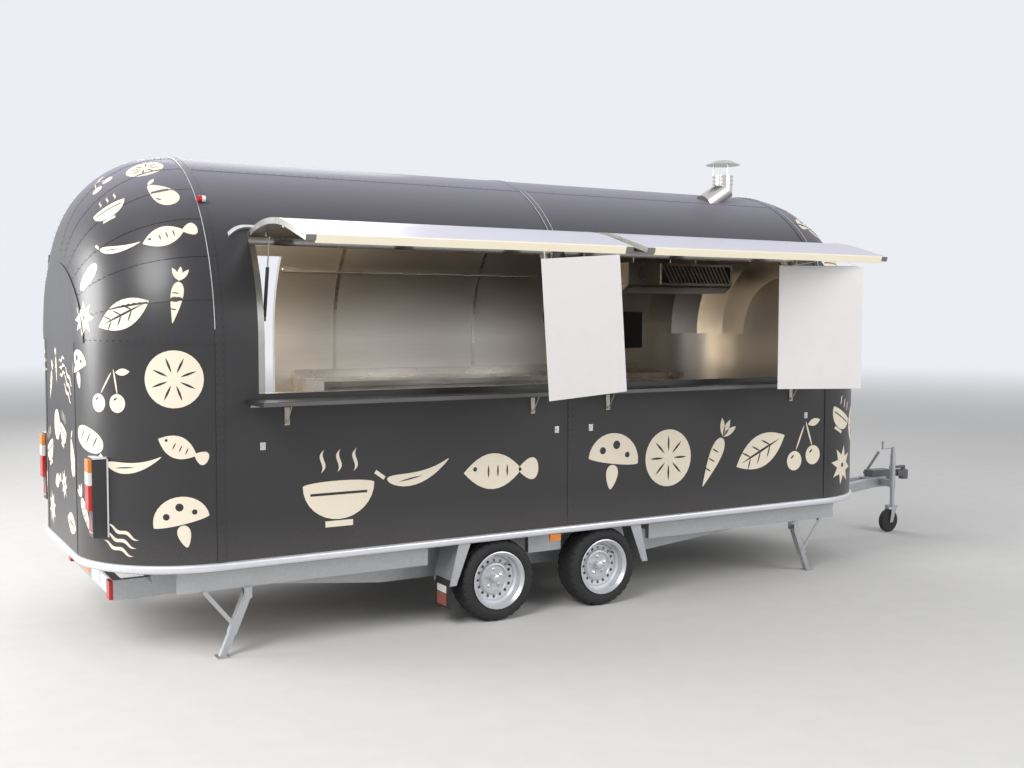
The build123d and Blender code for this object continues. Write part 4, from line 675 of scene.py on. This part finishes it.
def rivet_row(bm, spot, outward, step, count, radius=RIVET_RADIUS):
    """Straight row: one head copied along a step."""
    bmesh.ops.spin(
        bm, geom=rivet(bm, spot, outward, radius), axis=(1, 0, 0), cent=(0, 0, 0), dvec=step, angle=0,
        steps=count, use_duplicate=True,
    )


def rivet_arc(bm, spot, outward, centre, axis, angle, count, radius=RIVET_RADIUS):
    """Curved row: one head copied round an axis."""
    bmesh.ops.spin(
        bm, geom=rivet(bm, spot, outward, radius), axis=axis, cent=centre, angle=angle, steps=count,
        use_duplicate=True,
    )


bm = bmesh.new()
waist_line = Vector((0, 0, WAIST))
for seam_x, proud, start in ((REAR_SEAM, 0.005, 0), (FRONT_SEAM, 0.005, 0), (MIDDLE_X, 0.004, 41)):
    for x in (seam_x - ROW_OFFSET, seam_x + ROW_OFFSET):
        angle = radians(start)
        outward = Vector((0, -cos(angle), sin(angle)))
        spot = waist_line + Vector((x, 0, 0)) + outward * (HALF_WIDTH + proud)
        sweep = pi - angle
        count = round(sweep * HALF_WIDTH / RIVET_STEP)
        rivet_arc(bm, spot, outward, (x, 0, WAIST), (1, 0, 0), -sweep, count)
        for side in (-1, 1):
            if start == 0 or side == 1:
                out = Vector((0, side, 0))
                spot = Vector((x, side * (HALF_WIDTH + proud), 1.73))
                rivet_row(bm, spot, out, (0, 0, -RIVET_STEP), 25)
for x in (MIDDLE_X - ROW_OFFSET, MIDDLE_X + ROW_OFFSET):
    rivet_row(bm, Vector((x, -HALF_WIDTH - 0.003, 1.37)), Vector((0, -1, 0)), (0, 0, -RIVET_STEP), 17)
shoulder = radians(5 * GORE_ANGLE)
for side in (-1, 1):
    for offset in (-ROOF_OFFSET, ROOF_OFFSET):
        angle = shoulder + offset / HALF_WIDTH
        outward = Vector((0, side * cos(angle), sin(angle)))
        for start_x in ROOF_STARTS:
            spot = waist_line + Vector((start_x, 0, 0)) + outward * (HALF_WIDTH + 0.003)
            rivet_row(bm, spot, outward, (ROOF_STEP, 0, 0), 40)
for seam_x, away in ((REAR_SEAM, -1), (FRONT_SEAM, 1)):
    for side in (-1, 1):
        bend = Vector((seam_x, side * (HALF_WIDTH - CORNER), WAIST_ROW))
        spot = bend + Vector((0, side * (CORNER + END_PROUD), 0))
        rivet_arc(bm, spot, Vector((0, side, 0)), bend, (0, 0, -side * away), radians(88), 22, SMALL_RIVET)
    end_x = seam_x + away * (CORNER + END_PROUD)
    rivet_row(bm, Vector((end_x, -0.47, WAIST_ROW)), Vector((away, 0, 0)), (0, 0.047, 0), 20, SMALL_RIVET)
seam_rivets = finish_mesh(bm, "seam_rivets", body_paint)
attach(seam_rivets, "trailer")

bm = bmesh.new()
for seam_x, away in ((REAR_SEAM, -1), (FRONT_SEAM, 1)):
    for side in (-1, 1):
        for number in range(1, 7):
            angle = radians(number * GORE_ANGLE - LAP_BACK)
            radial = Vector((0, side * cos(angle), sin(angle)))
            bend = Vector((seam_x, 0, WAIST)) + radial * (HALF_WIDTH - CORNER)
            spot = bend + radial * (CORNER + 0.0044)
            axis = radial.cross(Vector((away, 0, 0)))
            first = Quaternion(axis, radians(4))
            spot = bend + first @ (spot - bend)
            rivet_arc(bm, spot, first @ radial, bend, axis, radians(80), 22, SMALL_RIVET)
gore_rivets = finish_mesh(bm, "gore_rivets", body_paint)
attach(gore_rivets, "trailer")

# Vinyl graphics: plain cream kitchen motifs cut from film and laid on the
# painted skin, scattered on the round ends and in one row below the counters
cream = metal("cream_vinyl", (0.76, 0.67, 0.52), (0.86, 0.78, 0.64), 0.0, 0.42, 30, bump=0.02)
ink = metal("charcoal_vinyl", PAINT_DARK, PAINT_LIGHT, 0.0, 0.42, 30, bump=0.02)
FILM_CELL, FILM_LIFT, MARK_LIFT, FILM_THICK = 0.03, 0.0008, 0.0014, 0.0004
EDGE_RUN, ROW_Z = CORNER * pi / 2, 0.96


def patch(bm, wide, high, x=0.0, y=0.0, turn=0.0, form=None, segments=32):
    """Flat cut-out: a disc, reshaped, sized, turned and moved."""
    verts = bmesh.ops.create_circle(bm, cap_ends=True, segments=segments, radius=1)["verts"]
    for vert in verts:
        if form:
            vert.co.x, vert.co.y = form(vert.co.x, vert.co.y)
        vert.co.x *= wide / 2
        vert.co.y *= high / 2
    bmesh.ops.rotate(bm, verts=verts, cent=(0, 0, 0), matrix=Matrix.Rotation(radians(turn), 3, "Z"))
    bmesh.ops.translate(bm, verts=verts, vec=(x, y, 0))


def pointed(x, y):
    return x, y * abs(y)


def boxed(x, y):
    return max(-1, min(1, 1.5 * x)), max(-1, min(1, 1.5 * y))


def tapered(x, y):
    return x * (0.42 + 0.58 * (y + 1) / 2), y


def dome_shaped(x, y):
    return x, y if y > 0 else 0.12 * y


def curved_pod(x, y):
    return x, y * (1 - 0.75 * (x + 1) / 2) + 0.9 * x * x


def leaf_motif(film, detail):
    patch(film, 1.0, 0.46, form=pointed)
    patch(detail, 0.80, 0.035, form=pointed)
    for x in (-0.2, 0.0, 0.2):
        for lean in (-1, 1):
            patch(detail, 0.20, 0.025, x - 0.07, lean * 0.07, lean * 132, pointed, 12)


def fish_motif(film, detail):
    patch(film, 0.74, 0.40, -0.10, form=pointed)
    patch(film, 0.26, 0.34, 0.36, 0, 0, lambda x, y: (x, y * (0.35 + 0.65 * (x + 1) / 2)), 24)
    patch(detail, 0.05, 0.05, -0.33, 0.035, segments=16)
    for x in (-0.16, -0.04, 0.08):
        patch(detail, 0.14, 0.022, x, 0, 90, pointed, 12)


def citrus_motif(film, detail):
    patch(film, 0.78, 0.78)
    for number in range(8):
        angle = number * pi / 4
        patch(detail, 0.22, 0.03, 0.2 * cos(angle), 0.2 * sin(angle), number * 45, pointed, 12)


def pepper_motif(film, detail):
    patch(film, 0.92, 0.24, form=curved_pod)
    patch(detail, 0.34, 0.02, -0.14, 0.02, -4, pointed, 12)
    patch(film, 0.16, 0.05, -0.54, 0.20, -50, boxed, 16)


def mushroom_motif(film, detail):
    patch(film, 0.84, 0.76, 0, 0.02, 0, dome_shaped)
    patch(film, 0.26, 0.34, 0, -0.21, 0, tapered, 24)
    for x, y, size in ((-0.2, 0.14, 0.10), (0.02, 0.24, 0.12), (0.22, 0.12, 0.08)):
        patch(detail, size, size, x, y, segments=18)


def bowl_motif(film, detail):
    patch(film, 0.88, 0.80, 0, -0.02, 180, dome_shaped)
    patch(film, 0.34, 0.07, 0, -0.47, 0, boxed, 16)
    patch(detail, 0.70, 0.03, 0, -0.12, 0, boxed, 16)
    for x in (-0.2, 0.0, 0.2):
        patch(film, 0.28, 0.05, x, 0.26, 78, lambda x, y: (x, y * (1 - x * x) + 1.2 * sin(3 * x)), 28)


def pear_motif(film, detail):
    patch(film, 0.60, 0.84, 0, -0.04, 0, lambda x, y: (x * (0.72 - 0.34 * y), y))
    patch(film, 0.26, 0.10, 0.12, 0.44, 24, pointed, 20)
    patch(detail, 0.03, 0.14, -0.16, -0.14, 18, segments=12)


def carrot_motif(film, detail):
    patch(film, 0.30, 0.72, 0, -0.12, 0, lambda x, y: (x * (0.18 + 0.82 * (y + 1) / 2), y))
    for lean in (-32, 0, 32):
        x, y = -0.13 * sin(radians(lean)), 0.26 + 0.13 * cos(radians(lean))
        patch(film, 0.26, 0.085, x, y, 90 + lean, pointed, 16)
    for y in (-0.24, -0.10, 0.04):
        patch(detail, 0.12, 0.02, -0.03, y, 0, segments=10)


def star_motif(film, detail):
    verts = bmesh.ops.create_circle(film, cap_ends=True, segments=16, radius=0.42)["verts"]
    for number, vert in enumerate(verts):
        vert.co *= 1.0 if number % 2 else 0.52
    patch(detail, 0.10, 0.10, segments=18)


def loaf_motif(film, detail):
    patch(film, 0.92, 0.44, form=lambda x, y: (x, y * (1.25 - 0.25 * abs(y))))
    for x in (-0.22, 0.0, 0.22):
        patch(detail, 0.28, 0.035, x, 0.02, 68, pointed, 12)


def cherry_motif(film, detail):
    for x, y in ((-0.22, -0.22), (0.22, -0.14)):
        patch(film, 0.34, 0.34, x, y)
        patch(detail, 0.09, 0.035, x - 0.05, y + 0.07, 40, segments=10)
    patch(film, 0.46, 0.035, -0.09, 0.18, 66, segments=14)
    patch(film, 0.46, 0.035, 0.12, 0.24, 110, segments=14)
    patch(film, 0.30, 0.13, 0.24, 0.44, 14, pointed, 20)


def wave_motif(film, detail):
    for y in (-0.2, 0.0, 0.2):
        patch(film, 0.92, 0.085, 0, y, 0, lambda x, y: (x, y * (1 - x ** 4) + 0.8 * sin(2 * pi * x)), 56)


MOTIFS = (
    mushroom_motif, fish_motif, citrus_motif, leaf_motif, pear_motif, wave_motif, pepper_motif,
    cherry_motif, star_motif, bowl_motif, carrot_motif, loaf_motif,
)
SKIN_NODES = (
    "end_domes", "end_plates", "end_walls", "wall_service", "wall_far", "roof_shoulders", "seam_strips",
)


def skin_spot(run, rise, side, end):
    """Place and outward direction on the skin. Run is measured round the corner
    from the end seam; rise is height, and above the waist length along the arch."""
    if run > EDGE_RUN:
        x, reach, out_x, out_r = -CORNER, HALF_WIDTH - CORNER - (run - EDGE_RUN), -1.0, 0.0
    elif run > 0:
        bend = run / CORNER
        x, reach = -CORNER * sin(bend), HALF_WIDTH - CORNER + CORNER * cos(bend)
        out_x, out_r = -sin(bend), cos(bend)
    else:
        x, reach, out_x, out_r = -run, HALF_WIDTH, 0.0, 1.0
    lift = 0.0
    if rise > WAIST and run <= EDGE_RUN:
        lift = (rise - WAIST) / HALF_WIDTH
        rise = WAIST
    spot = Vector((end * -x, side * reach * cos(lift), rise + reach * sin(lift)))
    outward = Vector((end * -out_x, side * out_r * cos(lift), out_r * sin(lift)))
    return spot + Vector((MIDDLE_X + end * STRAIGHT, 0, 0)), outward.normalized()


def lay_film(flat, lift, run, rise, size, turn, side, end, target):
    """Cut a flat motif into small cells, lay it on the real skin and add it to the target."""
    bmesh.ops.scale(flat, verts=flat.verts, vec=(size, size, 1))
    bmesh.ops.rotate(flat, verts=flat.verts, cent=(0, 0, 0), matrix=Matrix.Rotation(radians(turn), 3, "Z"))
    for axis in ((1, 0, 0), (0, 1, 0)):
        for number in range(-16, 17):
            everything = [*flat.verts, *flat.edges, *flat.faces]
            offset = Vector(axis) * (number * FILM_CELL + 0.0007)
            bmesh.ops.bisect_plane(flat, geom=everything, plane_co=offset, plane_no=axis)
    rightwards = -1 if side * end > 0 else 1
    squeeze = 1.0
    if rise > WAIST and 0 < run <= EDGE_RUN:
        squeeze = HALF_WIDTH / (HALF_WIDTH - CORNER + CORNER * cos(run / CORNER))
    outwards = {}
    for vert in flat.verts:
        guess, out = skin_spot(run + rightwards * vert.co.x, rise + vert.co.y * squeeze, side, end)
        best = None
        for name in SKIN_NODES:
            hit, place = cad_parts[name].ray_cast(guess + out * 0.04, -out, distance=0.09)[:2]
            if hit and (best is None or (place - guess).dot(out) > best):
                best = (place - guess).dot(out)
        outwards[vert] = out
        vert.co = guess + out * ((best or 0.0) + lift)
    flat.normal_update()
    for face in flat.faces:
        if face.normal.dot(outwards[face.verts[0]]) < 0:
            face.normal_flip()
    bmesh.ops.solidify(flat, geom=flat.faces[:], thickness=FILM_THICK)
    add_to(target, flat)


def lay_motif(motif, *where):
    """Lay one cream motif and its charcoal details on the skin."""
    top, marks = bmesh.new(), bmesh.new()
    motif(top, marks)
    lay_film(top, FILM_LIFT, *where, film)
    lay_film(marks, MARK_LIFT, *where, detail)


bpy.context.view_layer.update()
END_LAYOUT = [
    # run, rise, size, turn
    (0.21, 0.80, 0.36, 12), (0.56, 0.70, 0.24, -20), (0.86, 0.84, 0.30, 30), (1.16, 0.72, 0.26, -8),
    (1.38, 0.92, 0.22, 16), (0.20, 1.20, 0.30, -25), (0.47, 1.10, 0.36, 8), (0.80, 1.24, 0.30, -15),
    (1.10, 1.12, 0.27, 20), (1.38, 1.26, 0.24, -14), (0.24, 1.58, 0.40, 20), (0.62, 1.50, 0.30, -10),
    (0.92, 1.62, 0.28, 14), (1.20, 1.52, 0.27, -24), (0.21, 2.04, 0.32, -12), (0.52, 1.96, 0.34, 18),
    (0.82, 2.00, 0.24, -30), (0.21, 2.42, 0.32, 10), (0.50, 2.42, 0.28, -16), (0.74, 2.34, 0.20, 24),
    (0.20, 2.76, 0.28, 28), (0.50, 2.84, 0.24, -8), (0.22, 3.10, 0.28, -20), (0.48, 3.22, 0.20, 12),
    (0.18, 3.42, 0.22, 6), (1.38, 1.62, 0.22, 10),
]
MOTIF_SHIFT = {(-1, -1): 0, (-1, 1): 5, (1, -1): 8, (1, 1): 3}
film, detail = bmesh.new(), bmesh.new()
for end in (-1, 1):
    for side in (-1, 1):
        for number, (run, rise, size, turn) in enumerate(END_LAYOUT):
            motif = MOTIFS[(number * 5 + MOTIF_SHIFT[end, side]) % len(MOTIFS)]
            lay_motif(motif, run, rise, size, turn, side, end)
ROW_LAYOUT = [
    # place along the wall, motif, size, turn
    (-1.48, bowl_motif, 0.50, 0), (-0.96, pepper_motif, 0.46, 14), (-0.40, fish_motif, 0.56, 0),
    (0.46, mushroom_motif, 0.48, -8), (0.92, citrus_motif, 0.50, 0), (1.34, carrot_motif, 0.52, -28),
    (1.76, leaf_motif, 0.50, 24), (2.18, cherry_motif, 0.42, 0),
]
for place_x, motif, size, turn in ROW_LAYOUT:
    lay_motif(motif, REAR_SEAM - place_x, ROW_Z, size, turn, -1, -1)
for name, bm, material in (("vinyl_motifs", film, cream), ("vinyl_marks", detail, ink)):
    graphics = finish_mesh(bm, name, material)
    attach(graphics, "trailer")

# Menu boards: two blank white boards of thin hard card, hung askew from the
# hatch lips by cable ties through their top corners
BOARD_THICK, TIE_THICK, TIE_HEAD = 0.004, 0.0018, [(0, -0.004), (0.004, -0.004), (0.004, 0.004), (0, 0.004)]
LIP_LINE = Vector((0, -1.846, 2.292))
board_card = metal("menu_card", (0.66, 0.63, 0.62), (0.73, 0.70, 0.69), 0.0, 0.5, 12, bump=0.02)
tie_plastic = metal("cable_tie", (0.74, 0.73, 0.70), (0.82, 0.81, 0.78), 0.0, 0.4, 60)
for name, wide, high, spot, axis, turn in (
    ("rear", 0.54, 0.80, Vector((-0.295, -1.845, 2.262)), "Y", -4.2),
    ("front", 0.58, 0.82, Vector((1.707, -1.731, 2.262)), "Z", -24.0),
):
    bm = bmesh.new()
    lean = Matrix.Rotation(radians(turn), 3, axis)
    slab(bm, (-wide / 2, -BOARD_THICK / 2, -high), (wide / 2, BOARD_THICK / 2, 0), 0.0012, lean)
    bmesh.ops.translate(bm, verts=bm.verts, vec=spot)
    board = finish_mesh(bm, f"menu_board_{name}", board_card)
    bm = bmesh.new()
    for side in (-1, 1):
        hole = spot + lean @ Vector((side * (wide / 2 - 0.02), 0, -0.014))
        held = Vector((hole.x, LIP_LINE.y, LIP_LINE.z))
        if axis == "Z":
            held.x = spot.x + side * 0.10
        run = (held - hole).normalized()
        across = run.cross(Vector((1, 0, 0))).normalized() * TIE_THICK
        along = run.cross(across).normalized() * TIE_THICK
        ends = (hole - run * 0.004, held)
        join_rings(bm, [[end + across, end + along, end - across, end - along] for end in ends])
        turned_form(bm, TIE_HEAD, hole, lean @ Vector((0, -1, 0)), 8)
    ties = finish_mesh(bm, f"board_ties_{name}", tie_plastic)
    for piece in (board, ties):
        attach(piece, f"hatch_{name}")
        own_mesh(piece)
